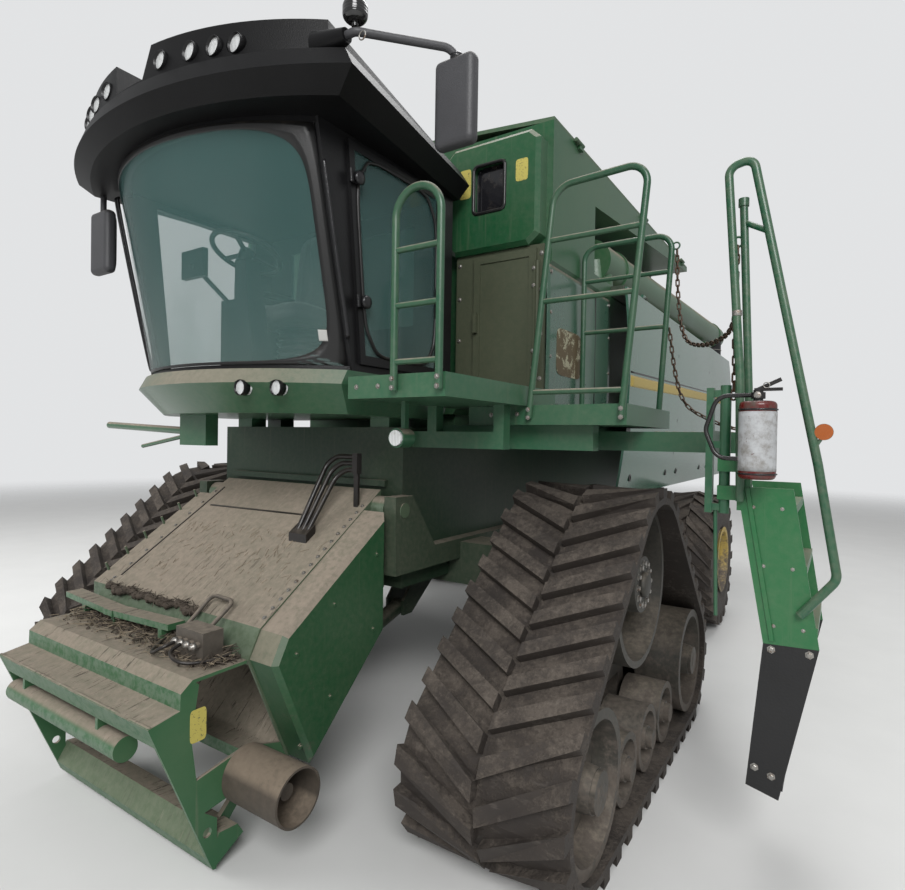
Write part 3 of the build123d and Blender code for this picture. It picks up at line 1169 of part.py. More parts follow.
def header_adapter():
    """Frame that the cutting table hooks on to: end plates, stepped hood, cross tube, foot and arms."""
    half, gap, t = ADAPTER_HALF, SEAT, 14
    fw_top, fw_low = FEEDER_TOP[2], FEEDER_BELLY[0]
    plate = (ADAPTER_LIP, ADAPTER_STEP[1], ADAPTER_STEP[0], ADAPTER_CREST, *ADAPTER_REAR,
             (-1560, 480), (mouth_y(420) - gap, 420), (mouth_y(335) - gap, 335), *ADAPTER_HEEL, ADAPTER_TIP)
    pieces = []
    for x0 in (-half, half - PLATE):
        hole = rod_x(x0 - 1, x0 + PLATE + 1, LOCK_Y, LOCK_Z, LOCK_R)
        pieces.append(prism_x(plate, x0, x0 + PLATE) - hole)
    lip_y, lip_z = ADAPTER_LIP
    hood = (
        (fw_top[0] - gap, fw_top[1]), ADAPTER_CREST, *ADAPTER_STEP, ADAPTER_LIP, (lip_y + 36, lip_z - 88),
        (lip_y + 50, lip_z - 83), (lip_y + 22, lip_z - 10), (ADAPTER_STEP[1][0] + t, ADAPTER_STEP[1][1] - t),
        (ADAPTER_STEP[0][0] + t, ADAPTER_STEP[0][1] - 6), (ADAPTER_CREST[0] + 4, ADAPTER_CREST[1] - t),
        (fw_top[0] - gap, fw_top[1] - t),
    )
    pieces.append(prism_x(hood, -half, half))
    tip_y, tip_z = ADAPTER_TIP
    foot = (ADAPTER_TIP, (tip_y - 22, tip_z + 54), (tip_y + 30, tip_z + 140), (tip_y + 120, tip_z + 130),
            (tip_y + 150, tip_z + 80))
    pieces.append(prism_x(foot, -half, half))
    # Sill at the feeder's mouth and the two arms that carry it from the foot
    low = along_line(fw_low, fw_top, 0.06)
    sill = ((fw_low[0] - gap, fw_low[1]), (low[0] - gap, low[1]), (low[0] - 90, low[1] - 10),
            (fw_low[0] - 110, fw_low[1] - 30))
    pieces.append(prism_x(sill, -half, half))
    arm = ((tip_y + 110, tip_z + 60), (tip_y + 90, tip_z + 120), (fw_low[0] - 105, fw_low[1] + 10),
           (fw_low[0] - 60, fw_low[1] - 10))
    for x in (-560, 560):
        pieces.append(prism_x(arm, x - 12, x + 12))
    # Cross tube on its two hangers
    tube_y, tube_z = CROSS_TUBE
    pieces.append(rod_x(-640, 380, tube_y, tube_z, CROSS_TUBE_R))
    hanger = ((tube_y - 30, tube_z), (tube_y + 30, tube_z), (tube_y + 40, lip_z + 17),
              (tube_y - 25, lip_z + 5))
    for x in HANGER_X:
        pieces.append(prism_x(hanger, x - 10, x + 10))
    # Two boards lying crosswise on the hood's rear, on short feet
    board_z = fw_top[1] + 55
    for (x0, y0), (x1, y1), feet in (((-820, -1585), (-240, -1630), (-600, -300)),
                                     ((-320, -1630), (190, -1590), (-300, 130))):
        board = ((x0, y0 - 45), (x1, y1 - 45), (x1, y1 + 42), (x0, y0 + 42))
        pieces.append(prism_z(board, board_z, board_z + 30))
        for x in feet:
            pieces.append(block(x - 15, x + 15, -1640, -1590, fw_top[1] - 8, board_z + 1))
    return fused(pieces)


def coupler():
    """Block of hose sockets on the adapter's hood, with its bent handle."""
    x0, x1 = COUPLER_X
    z0 = FEEDER_TOP[2][1] + SEAT
    pieces = [block(x0, x1, -1700, -1600, z0, z0 + 130), block(x0 - 125, x0 - 95, -1615, -1585, z0, z0 + 70)]
    for k in range(4):
        pieces.append(rod_y(x0 + 35 + 44 * k, -1722, -1699, z0 + 75, 15))
    grip = [(x0 - 110, -1600, z0 + 60), (x0 - 95, -1450, z0 + 200), (x0 + 90, -1465, z0 + 200),
            (x0 + 90, -1605, z0 + 100)]
    pieces.append(tube_along(grip, 10, [40, 40]))
    return fused(pieces)


def shaft_guard():
    """Open-ended can round the header's drive shaft."""
    x0 = ADAPTER_HALF + SEAT
    can = rod_x(x0, GUARD_END_X, GUARD_Y, GUARD_Z, GUARD_R)
    can -= rod_x(x0 + 10, GUARD_END_X + 1, GUARD_Y, GUARD_Z, GUARD_R - 10)
    shaft = rod_x(x0 + 9, GUARD_END_X - 70, GUARD_Y, GUARD_Z, SHAFT_R)
    return fused([can, shaft])


def lift_spot(x, reach):
    """A point on a lift cylinder's line, at a distance from its base pin towards its rod's eye."""
    dy, dz = LIFT_EYE_Y - LIFT_BASE_Y, LIFT_EYE_Z - LIFT_BASE_Z
    length = hypot(dy, dz)
    return (x, LIFT_BASE_Y + dy * reach / length, LIFT_BASE_Z + dz * reach / length)


def lift_barrels():
    """The two lift cylinders' barrels, each with its base eye."""
    barrels = []
    for x in (-LIFT_X, LIFT_X):
        eye = rod_x(x - 40, x + 40, LIFT_BASE_Y, LIFT_BASE_Z, 42)
        barrel = rod_between(lift_spot(x, 30), lift_spot(x, LIFT_BARREL_LENGTH), LIFT_BARREL_R)
        bore = rod_between(lift_spot(x, 70), lift_spot(x, LIFT_BARREL_LENGTH + 1), LIFT_ROD_R + PIN_FIT)
        pin_hole = rod_x(x - 50, x + 50, LIFT_BASE_Y, LIFT_BASE_Z, LIFT_PIN_R + PIN_FIT)
        barrels.append(fused([eye, barrel]).cut(bore, pin_hole))
    return Compound(children=barrels)


def lift_rods():
    """Their rods, each with its eye and pin."""
    length = hypot(LIFT_EYE_Y - LIFT_BASE_Y, LIFT_EYE_Z - LIFT_BASE_Z)
    rods = []
    for x in (-LIFT_X, LIFT_X):
        eye = rod_x(x - 36, x + 36, LIFT_EYE_Y, LIFT_EYE_Z, LIFT_ROD_R + 1)
        pin = rod_x(x - 64, x + 64, LIFT_EYE_Y, LIFT_EYE_Z, LIFT_PIN_R)
        rod = rod_between(lift_spot(x, 120), lift_spot(x, length), LIFT_ROD_R)
        rods.append(fused([rod, eye, pin]))
    return Compound(children=rods)


# Walkway, rails and ladder

def walkway():
    """Three decks in steps, the beams that carry them and the ladder's post."""
    pieces = []
    for deck in (WALK_1, WALK_2, WALK_3):
        low, high = deck["top"] - WALK_DEEP, deck["top"]
        pieces.append(block(deck["x0"], deck["x1"], deck["y0"], deck["y1"], low, high))
    body_x = BODY_HALF + SEAT
    for y in (-300, 260):
        pieces.append(block(body_x, WALK_2["x1"] - 200, y, y + 80, 1790, WALK_2["top"] - WALK_DEEP + 1))
    pieces.append(block(body_x, WALK_1["x1"] - 60, -540, -470, 1790, 1880))
    for x0 in (WALK_1["x1"] - 120, WALK_1["x0"] + 10):
        pieces.append(block(x0, x0 + 60, -540, -470, 1870, WALK_1["top"] - WALK_DEEP + 1))
    x, y = LADDER_AXIS_X, LADDER_Y
    top = WALK_3["top"]
    pieces.append(block(x - 75, x - 46, y - 20, WALK_3["y0"] + 1, top - WALK_DEEP, top))
    pieces.append(block(x - 75, x - 46, y - 20, y + 20, 1540, 2080))
    pieces.append(rod_z(x, y, 1540, 2090, LADDER_PIN_R))
    for z in (1550, 1820, 2040):
        pieces.append(block(x - 75, x, y - 14, y + 14, z, z + 30))
    pieces.append(rod_between((x - 34, y, 1560), (x - 24, y, 1093), 8))
    # Cup of the lamp under the front deck
    x, y, z = WALK_LAMP
    cup = rod_y(x, y + 8, y + 100, z, WALK_LAMP_R + 9) - rod_y(x, y, y + 40 + SEAT, z, WALK_LAMP_R + 3)
    pieces.append(cup)
    pieces.append(block(x - 12, x + 12, y + 60, y + 90, z, WALK_1["top"] - WALK_DEEP + 1))
    return fused(pieces)


def walkway_rails():
    """Three bent-tube rails bolted to the decks' edges."""
    solids = []
    y = WALK_1["y0"] - RAIL_R - SEAT
    left, right, top = 1166, 1408, 2924
    hoop = [(left, y, 2050), (left, y, top), (right, y, top), (right, y, 2050)]
    pieces = [tube_along(hoop, RAIL_R, [120, 120])]
    for z in (2663, 2421, 2175):
        pieces.append(rod_x(left, right, y, z, 13))
    solids.append(fused(pieces))
    y = WALK_2["y0"] - RAIL_R - SEAT
    hoop = [(1448, y, 1955), (1575, y, 3135), (2050, y, 3155), (1937, y, 1955)]
    pieces = [tube_along(hoop, RAIL_R, [110, 90])]
    for z, lean in ((2865, 0.105), (2557, 0.105), (2090, 0.105)):
        pieces.append(rod_x(1448 + (z - 1955) * lean, 1937 + (z - 1955) * lean * 0.9, y, z, 14))
    solids.append(fused(pieces))
    y = WALK_2["y1"] + RAIL_R + SEAT
    hoop = [(1402, y, 1955), (1404, y, 3090), (1955, y, 3090), (1888, y, 1955)]
    pieces = [tube_along(hoop, RAIL_R, [90, 90]), Pos(1975, y, 3016) * Rot(90, 0, 0) * Torus(20, 5)]
    for z in (2870, 2540):
        pieces.append(rod_x(1402, 1888 + (z - 1955) * 0.059, y, z, 14))
    solids.append(fused(pieces))
    return Compound(children=solids)


def ladder():
    """Swinging ladder: two stringer plates with treads, hung on the post by two collars."""
    x, y = LADDER_X, LADDER_Y
    outline = ((x + 10, 1660), (x + 218, 1660), (x + 318, 1030), (x + 120, 1020))
    back = y + LADDER_WIDTH
    pieces = []
    for y0 in (y - 40, back - 52):
        pieces.append(prism_y(outline, y0, y0 + 12))
    for k in range(3):
        z = 1560 - 240 * k
        x0 = x + 12 + (1660 - z) * 0.172
        pieces.append(block(x0 + 4, x0 + 200, y - 39, back - 41, z, z + 35))
    for z in (1600, 1720):
        collar = block(LADDER_AXIS_X - 24, x + 50, y - 30, y + 30, z, z + 60)
        pieces.append(collar - rod_z(LADDER_AXIS_X, y, z - 1, z + 61, LADDER_PIN_R + PIN_FIT))
    pieces.append(block(x + 10, x + 60, y - 38, y + 30, 1560, 1960))
    # Holder for the extinguisher
    pieces.append(block(x + 46, x + 60, y - BOTTLE_OFFSET + BOTTLE_R + SEAT, y, 1790, 1830))
    pieces.append(block(x + 46, x + 140, y - BOTTLE_OFFSET + BOTTLE_R + SEAT, y - 66, 1730, 1940))
    return fused(pieces)


def ladder_tail():
    """Lower steps on two rubber straps."""
    x, y = LADDER_X, LADDER_Y
    back = y + LADDER_WIDTH
    strap = ((x + 120, 1020 - SEAT), (x + 318, 1030 - SEAT), (x + 188, 389), (x + 66, 418))
    pieces = []
    for y0 in (y - 40, back - 52):
        pieces.append(prism_y(strap, y0, y0 + 12))
    for z, x0 in ((760, 108), (430, 72)):
        pieces.append(block(x + x0, x + x0 + 130, y - 39, back - 41, z, z + 32))
    return fused(pieces)


def ladder_rail():
    """Hand loop beside the ladder's front stringer, with its leaning post, ring and marker lamp."""
    x, y = LADDER_X, LADDER_Y - 40 - RAIL_R - SEAT
    points = [(x + 25, y, 1600), (x + 15, y, 2120), (x - 45, y, 3000), (x + 50, y, 3020), (x + 300, y, 1760),
              (x + 372, y, 1320), (x + 250, y, 1160)]
    post_foot, post_head = (x + 47, LADDER_Y - 4, 1961), (x + 9, LADDER_Y - 4, 2860)
    pieces = [
        tube_along(points, RAIL_R, [200, 45, 40, 200, 60]),
        rod_between(post_foot, post_head, 16),
        rod_z(x + 9, LADDER_Y - 4, 2845, 2878, 21),
        rod_between((x + 16, LADDER_Y - 4, 2776), (x + 112, y, 2708), 12),
        Pos(x - 11, LADDER_Y - 4, 2699) * Rot(90, 0, 0) * Torus(21, 5),
        rod_between((x + 288, y, 1830), (x + 317, y, 1880), 7),
        rod_y(x + 317, y - 12, y + 12, 1891, 32),
    ]
    return fused(pieces)


def extinguisher():
    """Fire extinguisher in its bracket on the ladder's bearing plate."""
    x, y = LADDER_X + 95, LADDER_Y - BOTTLE_OFFSET
    pieces = [
        fillet(rod_z(x, y, 1700, 2010, BOTTLE_R).edges(), 18),
        rod_z(x, y, 2005, 2055, 18),
        rod_z(x, y, 2020, 2045, 26),
        block(x - 14, x + 85, y - 10, y + 10, 2050, 2062),
        rod_between((x - 5, y, 2055), (x + 80, y, 2095), 8),
        tube_along([(x, y, 2035), (x - 150, y, 2035), (x - 195, y, 1895), (x - 150, y, 1780),
                    (x - 55, y, 1780)], 9, [60, 60, 60]),
    ]
    return fused(pieces)


def machine():
    """Every node by name, where it stands in the machine."""
    nodes = {}
    for name, piece in (
        ("track", belt), ("tyre", tyre), ("rim", rear_rim), ("knuckle", knuckle),
        ("tank_cover", tank_cover), ("side_shield", side_shield), ("spreader_disc", spreader),
    ):
        left = piece()
        nodes[name + "_left"] = left
        nodes[name + "_right"] = mirror_x(left)
    for name, piece in (
        ("track_frames", track_frame), ("drive_wheels", drive_wheel), ("shield_rails", shield_rail),
    ):
        left = piece()
        nodes[name] = Compound(children=[left, mirror_x(left)])
    for piece in (
        main_frame, rear_axle, threshing_body, grain_tank, rear_hood, engine, chopper_case, bulkhead,
        service_door, auger_riser, auger_tube, auger_spout, cab_base, cab_frame, cab_glass, cab_door,
        door_glass, cab_roof, cab_lamps, mirrors, beacon, seat, steering_column, console, feeder_house,
        feeder_shield, feeder_tray, feeder_hoses, header_adapter, coupler, shaft_guard, lift_barrels,
        lift_rods, walkway, walkway_rails, ladder, ladder_tail, ladder_rail, extinguisher,
    ):
        nodes[piece.__name__] = piece()
    return nodes


def shift_to_origin(nodes):
    """The move that puts the whole machine's box on the ground with its middle over the origin."""
    boxes = [piece.bounding_box() for piece in nodes.values()]
    low = [min(getattr(box.min, axis) for box in boxes) for axis in "XYZ"]
    high = [max(getattr(box.max, axis) for box in boxes) for axis in "XYZ"]
    return Vector(-(low[0] + high[0]) / 2, -(low[1] + high[1]) / 2, -low[2])


if __name__ == "__main__":
    os.makedirs("parts", exist_ok=True)
    NODES = machine()
    SHIFT = shift_to_origin(NODES)
    for NAME, PIECE in NODES.items():
        SOLIDS = [Pos(SHIFT.X, SHIFT.Y, SHIFT.Z) * solid for solid in PIECE.solids()]
        export_step(SOLIDS[0] if len(SOLIDS) == 1 else Compound(SOLIDS), f"parts/{NAME}.step")
    print(len(NODES), "nodes, moved by", SHIFT)
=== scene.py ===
import math

import bmesh
import bpy
import numpy as np
from mathutils import Euler, Matrix, Vector


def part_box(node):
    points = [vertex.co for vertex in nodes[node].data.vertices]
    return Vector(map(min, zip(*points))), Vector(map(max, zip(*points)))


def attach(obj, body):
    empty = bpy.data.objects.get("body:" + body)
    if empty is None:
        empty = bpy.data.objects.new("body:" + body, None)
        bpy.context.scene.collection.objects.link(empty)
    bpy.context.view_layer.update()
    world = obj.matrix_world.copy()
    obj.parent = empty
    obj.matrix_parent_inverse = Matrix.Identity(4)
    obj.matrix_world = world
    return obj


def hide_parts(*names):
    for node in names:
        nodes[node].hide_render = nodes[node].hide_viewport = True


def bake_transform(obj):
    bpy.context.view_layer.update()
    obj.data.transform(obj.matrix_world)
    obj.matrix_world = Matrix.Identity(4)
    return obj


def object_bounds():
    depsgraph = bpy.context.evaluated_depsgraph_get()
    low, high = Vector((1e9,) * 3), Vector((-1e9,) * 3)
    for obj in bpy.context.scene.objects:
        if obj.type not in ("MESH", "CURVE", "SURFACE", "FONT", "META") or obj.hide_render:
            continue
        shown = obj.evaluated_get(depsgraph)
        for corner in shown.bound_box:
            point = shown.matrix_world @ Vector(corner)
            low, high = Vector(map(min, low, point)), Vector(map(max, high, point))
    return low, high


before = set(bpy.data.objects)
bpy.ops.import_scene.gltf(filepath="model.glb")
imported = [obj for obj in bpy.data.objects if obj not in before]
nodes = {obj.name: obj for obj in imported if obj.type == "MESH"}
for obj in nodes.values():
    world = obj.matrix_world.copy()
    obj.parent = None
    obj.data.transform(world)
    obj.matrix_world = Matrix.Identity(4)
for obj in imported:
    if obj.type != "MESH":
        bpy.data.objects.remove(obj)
cad_box = [[float(v) for v in corner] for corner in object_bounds()]


# Tracks
# Two rubber belts with moulded slanted lugs run round a cast drive wheel, two idlers and six rollers.
# The rubber is worn brown-black and packed with field clay between its lugs.

def maths(operation, swapped=False):
    """A method of Wire that adds one Math node."""
    def method(self, other=0.0):
        first, second = (other, self) if swapped else (self, other)
        return self.owner.add("Math", {"operation": operation}, {0: first, 1: second})
    return method


class Wire:
    """A socket of a node tree. Arithmetic on it adds Math nodes."""

    def __init__(self, owner, socket):
        self.owner, self.socket = owner, socket

    __add__ = __radd__ = maths("ADD")
    __mul__ = __rmul__ = maths("MULTIPLY")
    __sub__, __rsub__ = maths("SUBTRACT"), maths("SUBTRACT", True)
    lowest, highest, size = maths("MINIMUM"), maths("MAXIMUM"), maths("ABSOLUTE")

    def rise(self, start, end):
        """0 below start, 1 above end and smooth between them."""
        return self.owner.add("MapRange", {"interpolation_type": "SMOOTHSTEP"},
                              {"Value": self, "From Min": start, "From Max": end})


class Nodes:
    """The nodes of a material or of the world."""

    def __init__(self, tree):
        self.tree = tree

    def add(self, kind, settings, sockets, output=0):
        """A node of any kind: its settings are set first, then the values or links of its sockets."""
        made = self.tree.nodes.new("ShaderNode" + kind)
        for key, value in settings.items():
            setattr(made, key, value)
        for key, value in sockets.items():
            if isinstance(value, Wire):
                self.tree.links.new(value.socket, made.inputs[key])
            else:
                made.inputs[key].default_value = value
        return Wire(self, made.outputs[output])


def as_colour(value):
    """Three numbers become a full colour; a colour that varies stays as it is."""
    return value if isinstance(value, Wire) else (*value, 1.0)


class Finish(Nodes):
    """One material while it is being made. Patterns read Object coordinates, in metres."""

    def __init__(self, name, **fixed):
        self.material = bpy.data.materials.new(name)
        self.material.use_nodes = True
        super().__init__(self.material.node_tree)
        self.shader = self.tree.nodes["Principled BSDF"]
        for socket, value in fixed.items():
            self.shader.inputs[socket.replace("_", " ")].default_value = value
        self.place = self.add("TexCoord", {}, {}, "Object")
        self.facing = self.add("TexCoord", {}, {}, "Normal")

    def axis(self, name, of=None):
        """One coordinate of the place, or of another vector."""
        return self.add("SeparateXYZ", {}, {0: of or self.place}, name)

    def noise(self, scale, detail=3.0, rough=0.55, stretch=(1, 1, 1)):
        """Cloudy noise of a number of features a metre, stretched along the axes."""
        moved = self.add("Mapping", {}, {"Vector": self.place, "Scale": stretch})
        sockets = {"Vector": moved, "Scale": scale, "Detail": detail, "Roughness": rough}
        return self.add("TexNoise", {}, sockets)

    def waves(self, direction, scale):
        """Ribs square to an axis, as a sine wave of the place along it."""
        return self.add("TexWave", {"bands_direction": direction}, {"Vector": self.place, "Scale": scale})

    def mix(self, share, low, high):
        """Low where the share is 0, high where it is 1, for colours."""
        return self.add("Mix", {"data_type": "RGBA", "clamp_factor": True},
                        {0: share, 6: as_colour(low), 7: as_colour(high)}, 2)

    def shade(self, colour, amount):
        """A colour made darker or lighter by a number that varies."""
        grey = self.add("CombineColor", {}, {0: amount, 1: amount, 2: amount})
        return self.add("Mix", {"data_type": "RGBA", "blend_type": "MULTIPLY"},
                        {0: 1.0, 6: as_colour(colour), 7: grey}, 2)

    def bump(self, height, depth, under=None):
        """A normal from a height of 0 to 1, that is depth metres at 1, over another normal."""
        sockets = {"Height": height, "Distance": depth, "Strength": 1.0}
        return self.add("Bump", {}, sockets if under is None else {**sockets, "Normal": under})

    def end(self, colour, rough=None, normal=None, alpha=None):
        """Links what varies over the surface and gives the material."""
        varying = {"Base Color": colour, "Roughness": rough, "Normal": normal, "Alpha": alpha}
        for socket, value in varying.items():
            if value is not None:
                self.tree.links.new(value.socket, self.shader.inputs[socket])
        return self.material


DUST = (0.215, 0.180, 0.142)
CLAY = (0.097, 0.081, 0.067)
SIDES = (("left", 1), ("right", -1))

# X points to the machine's left, Y to its rear and Z up
X, Y, Z = np.eye(3)
drive_low, drive_high = np.array([tuple(corner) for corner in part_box("drive_wheels")], float)
AXLE = (drive_low + drive_high) / 2 * (1, 1, 0)
AXLE_HEIGHT = (drive_low[2] + drive_high[2]) / 2


def from_axle(points):
    """Places measured from the ground under the middle of the drive axle, as places in the frame."""
    return np.asarray(points, float).reshape(-1, 3) + AXLE


def places_at(x, y, z):
    """Places from three coordinates, each one number or an array."""
    return np.stack(np.broadcast_arrays(x, y, z), axis=-1)


def grid_faces(rows, columns, close_rows=False, close_columns=False):
    """The four-sided faces between neighbours of a grid of points, closed where it goes round as a ring."""
    r = np.arange(rows if close_rows else rows - 1)[:, None]
    c = np.arange(columns if close_columns else columns - 1)[None, :]
    below, beside = (r + 1) % rows, (c + 1) % columns
    corners = [r * columns + c, r * columns + beside, below * columns + beside, below * columns + c]
    return np.stack([np.broadcast_to(k, (r.size, c.size)) for k in corners], axis=-1).reshape(-1, 4)


def repeated(faces, pieces, each):
    """One piece's faces given again for every like piece; each piece takes its own run of places."""
    faces = np.asarray(faces)
    return (faces + np.arange(pieces)[:, None, None] * each).reshape(-1, faces.shape[1]).tolist()


def unit(vectors):
    """Vectors of any array shape, each divided by its length."""
    return vectors / np.linalg.norm(vectors, axis=-1, keepdims=True)


def square_to(ahead, aside):
    """Two unit directions square to one direction and to each other."""
    u = unit(np.cross(ahead, aside))
    return u, np.cross(ahead, u)


def ring_of(middle, radius, count, u, v):
    """Places on a circle: middle + radius * (cos a * u + sin a * v)."""
    a = np.arange(count)[:, None] * 2 * np.pi / count
    return middle + radius * (np.cos(a) * u + np.sin(a) * v)


def skin(name, body, material, points, faces, smooth=True, thick=0.0):
    """A piece from places and faces; thick gives an open sheet its wall."""
    mesh = bpy.data.meshes.new(name)
    mesh.from_pydata(from_axle(points).tolist(), [], [list(map(int, face)) for face in faces])
    if not thick:
        shape = bmesh.new()
        shape.from_mesh(mesh)
        bmesh.ops.recalc_face_normals(shape, faces=shape.faces)
        shape.to_mesh(mesh)
        shape.free()
    mesh.polygons.foreach_set("use_smooth", np.full(len(mesh.polygons), smooth))
    mesh.materials.append(material)
    obj = bpy.data.objects.new(name, mesh)
    bpy.context.scene.collection.objects.link(obj)
    if thick:
        wall = obj.modifiers.new("wall", "SOLIDIFY")
        wall.thickness, wall.offset = thick, 1.0
    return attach(obj, body) if body else obj


def turned(name, body, material, middles, axis, profile, sides=28, smooth=True):
    """Turned pieces about one direction: ring k stands profile[k, 0] along the axis at radius profile[k, 1].

    A point is middle + axis * along + radius * (cos a * u + sin a * v). A flat face closes each end."""
    axis = unit(np.asarray(axis, float))
    along, radius = np.asarray(profile, float).T[..., None, None]
    shape = along * axis + ring_of(0, radius, sides, *square_to(axis, (0.31, 0.52, 0.79)))
    middles = np.asarray(middles, float).reshape(-1, 1, 1, 3)
    each = len(along) * sides
    faces = repeated(grid_faces(len(along), sides, False, True), len(middles), each)
    faces += repeated([range(sides), range(each - sides, each)], len(middles), each)
    return skin(name, body, material, middles + shape, faces, smooth)


def bare_steel(name, colour=(0.30, 0.29, 0.27), rough=0.42):
    """Zinc-plated or worn steel, dulled and speckled with rust."""
    f = Finish(name, Metallic=0.85)
    rust = (f.noise(70, 4, 0.7) + f.noise(9, 2) * 0.3).rise(0.66, 0.86)
    return f.end(f.mix(rust, colour, (0.16, 0.085, 0.045)), rust * 0.35 + rough)


bolt_steel = bare_steel("bolt_steel")


def studs(name, body, places, axis, radius, height, material=bolt_steel):
    """Six-sided bolt heads on their washers, all pointing one way."""
    r, h = radius, height
    profile = [(-0.004, 1.5 * r), (0.15 * h, 1.5 * r), (0.2 * h, r), (0.85 * h, r), (h, 0.8 * r)]
    return turned(name, body, material, places, axis, profile, 6, False)


def wear(material, *parts):
    """Gives CAD nodes a material on every face, and hands the material back."""
    for part in parts:
        mesh = nodes[part].data
        mesh.materials.clear()
        mesh.materials.append(material)
    return material


def belt_rubber(name):
    """Black rubber, greyed on the lugs' faces and packed with clay where the belt lies deep."""
    f = Finish(name, Specular_IOR_Level=0.35)
    grain, patches, clods = f.noise(260, 4), f.noise(5, 5), f.noise(38, 6, 0.7)
    up = f.axis("Z", f.facing)
    clay = (clods * 0.7 + patches * 0.6 + up * 0.12).rise(0.62, 0.84)
    rubber = f.mix(patches, (0.018, 0.015, 0.014), (0.046, 0.037, 0.030))
    crumbs = f.noise(120, 3).rise(0.45, 0.7)
    colour = f.mix(clay * (crumbs * 0.35 + 0.55), rubber, CLAY)
    scuffs = f.noise(14, 5, 0.7, (1, 1, 3)).rise(0.56, 0.75)
    colour = f.mix(scuffs * 0.45, colour, (0.115, 0.098, 0.084))
    under = f.bump(grain, 0.0006)
    return f.end(colour, clay * 0.2 + 0.68, f.bump(clods * clay, 0.006, under))


wear(belt_rubber("belt_rubber"), "track_left", "track_right")


def soiled_paint(name, paint, dust=0.12, lying=0.75, mud=0.0, gloss=0.34, streak=0.22, dust_colour=DUST,
                 coat=0.0):
    """Sprayed paint with field dust: a thin film all over, a thick coat on upper faces, runs down the sides.

    dust is the film's share, lying the coat's share on a level face, mud how much is thrown up from below."""
    f = Finish(name, Specular_IOR_Level=0.45, Coat_Roughness=0.12, Coat_Weight=coat)
    broad, fine, grit = f.noise(0.9, 4), f.noise(34, 5, 0.65), f.noise(340, 2)
    up, height = f.axis("Z", f.facing), f.axis("Z")
    colour = f.shade(paint, broad * 0.35 + 0.82)
    runs = f.noise(34, 4, 0.6, (1, 1, 0.035)).rise(0.50, 0.78) * (1.0 - up.size())
    shelf = up.rise(0.18, 0.62) * ((fine - 0.5) * 0.9 + (broad - 0.5) * 1.7 + lying).lowest(1.0)
    film = (broad - 0.5) * 0.35 + (fine - 0.5) * 0.22 + dust
    powder = shelf.highest(film).highest(runs * streak)
    colour = f.mix(powder, colour, f.shade(dust_colour, fine * 0.6 + 0.7))
    if mud:
        splash = (f.noise(9, 6, 0.7) + f.noise(60, 3) * 0.4 - height * 0.42 + (mud - 0.55)).rise(0.10, 0.34)
        colour = f.mix(splash, colour, f.shade(CLAY, fine + 0.5))
        powder = powder.highest(splash)
    chips = f.noise(95, 2).rise(0.75, 0.79) * f.noise(2.5, 2).rise(0.52, 0.62)
    colour = f.mix(chips, colour, (0.07, 0.06, 0.05))
    under = f.bump(grit, 0.0002)
    return f.end(colour, powder * (0.9 - gloss) + gloss, f.bump(powder * fine, 0.0012, under))


# Painted shade: the track frames, drive wheels and their caps are painted nearly black for the deep shadow
# under the machine; the mud and dust on them are real dirt.
undercarriage_dirt_and_painted_shade = wear(
    soiled_paint("undercarriage_dirt_and_painted_shade", (0.016, 0.018, 0.016), lying=0.35, mud=0.22, gloss=0.55),
    "track_frames", "drive_wheels")

BELT_MIDDLE = 1.666
HUB_FACE, IDLER_FACE, ROLLER_FACE = 0.280, 0.350, 0.320
IDLER_REACH, IDLER_HEIGHT, ROLLER_PITCH, ROLLER_HEIGHT = 0.889, 0.411, 0.370, 0.2553

for side, s in SIDES:
    hub = (s * (BELT_MIDDLE + HUB_FACE), 0.0, AXLE_HEIGHT)
    idlers = places_at(s * (BELT_MIDDLE + IDLER_FACE), [-IDLER_REACH, IDLER_REACH], IDLER_HEIGHT)
    rollers = places_at(s * (BELT_MIDDLE + ROLLER_FACE), ROLLER_PITCH * np.arange(-1, 2), ROLLER_HEIGHT)
    studs("drive_hub_bolts_" + side, "machine", ring_of(hub, 0.112, 12, Y, Z), s * X, 0.013, 0.016)
    for name, spots, profile in (
        ("drive_hub_cap_", hub, [(-0.002, 0.070), (0.022, 0.066), (0.030, 0.050), (0.033, 0.015)]),
        ("idler_caps_", idlers, [(-0.002, 0.055), (0.014, 0.053), (0.022, 0.040), (0.024, 0.010)]),
        ("roller_caps_", rollers, [(-0.002, 0.040), (0.010, 0.038), (0.016, 0.028), (0.018, 0.008)]),
    ):
        turned(name + side, "machine", undercarriage_dirt_and_painted_shade, spots, s * X, profile)
    studs("idler_bolts_" + side, "machine", ring_of(idlers[:, None], 0.072, 8, Y, Z), s * X, 0.009, 0.010)


# Frame, axles and rear wheels
# Welded steel beams carry everything; the rear axle steers two lugged tyres on painted steel rims.
# All of it sits in thrown-up dirt.

# Painted shade: the frame's green is darkened almost to black for the shadowed belly under the machine; its
# mud and dust are real dirt.
frame_dirt_and_painted_shade = wear(soiled_paint("frame_dirt_and_painted_shade", (0.006, 0.027, 0.012), lying=0.6, mud=0.25, gloss=0.5),
                   "main_frame", "rear_axle", "knuckle_left", "knuckle_right")
wear(belt_rubber("tyre_rubber"), "tyre_left", "tyre_right")
wear(soiled_paint("rim_paint", (0.46, 0.32, 0.035), dust=0.30, mud=0.35, gloss=0.42), "rim_left", "rim_right")


# Feeder house and adapter
# A sloping sheet-metal channel with a drive cover on its left, and the frame that takes the cutting table.
# Its top lies deep in dust and chaff; its sides are green.

SLOPE_REAR, SLOPE_FRONT = (-0.680, 1.550), (-1.496, 0.983)
HOOD_HEIGHT, EDGE_X, COVER_FACE = 0.860, 0.648, 0.8365


def on_slope(x, y, above=0.0):
    """Places on the feeder's long top face, or on a plane that far above it."""
    (y0, z0), (y1, z1) = SLOPE_REAR, SLOPE_FRONT
    tilt = (z1 - z0) / (y1 - y0)
    return places_at(x, y, z0 + tilt * (y - y0) + above * math.sqrt(1 + tilt * tilt))


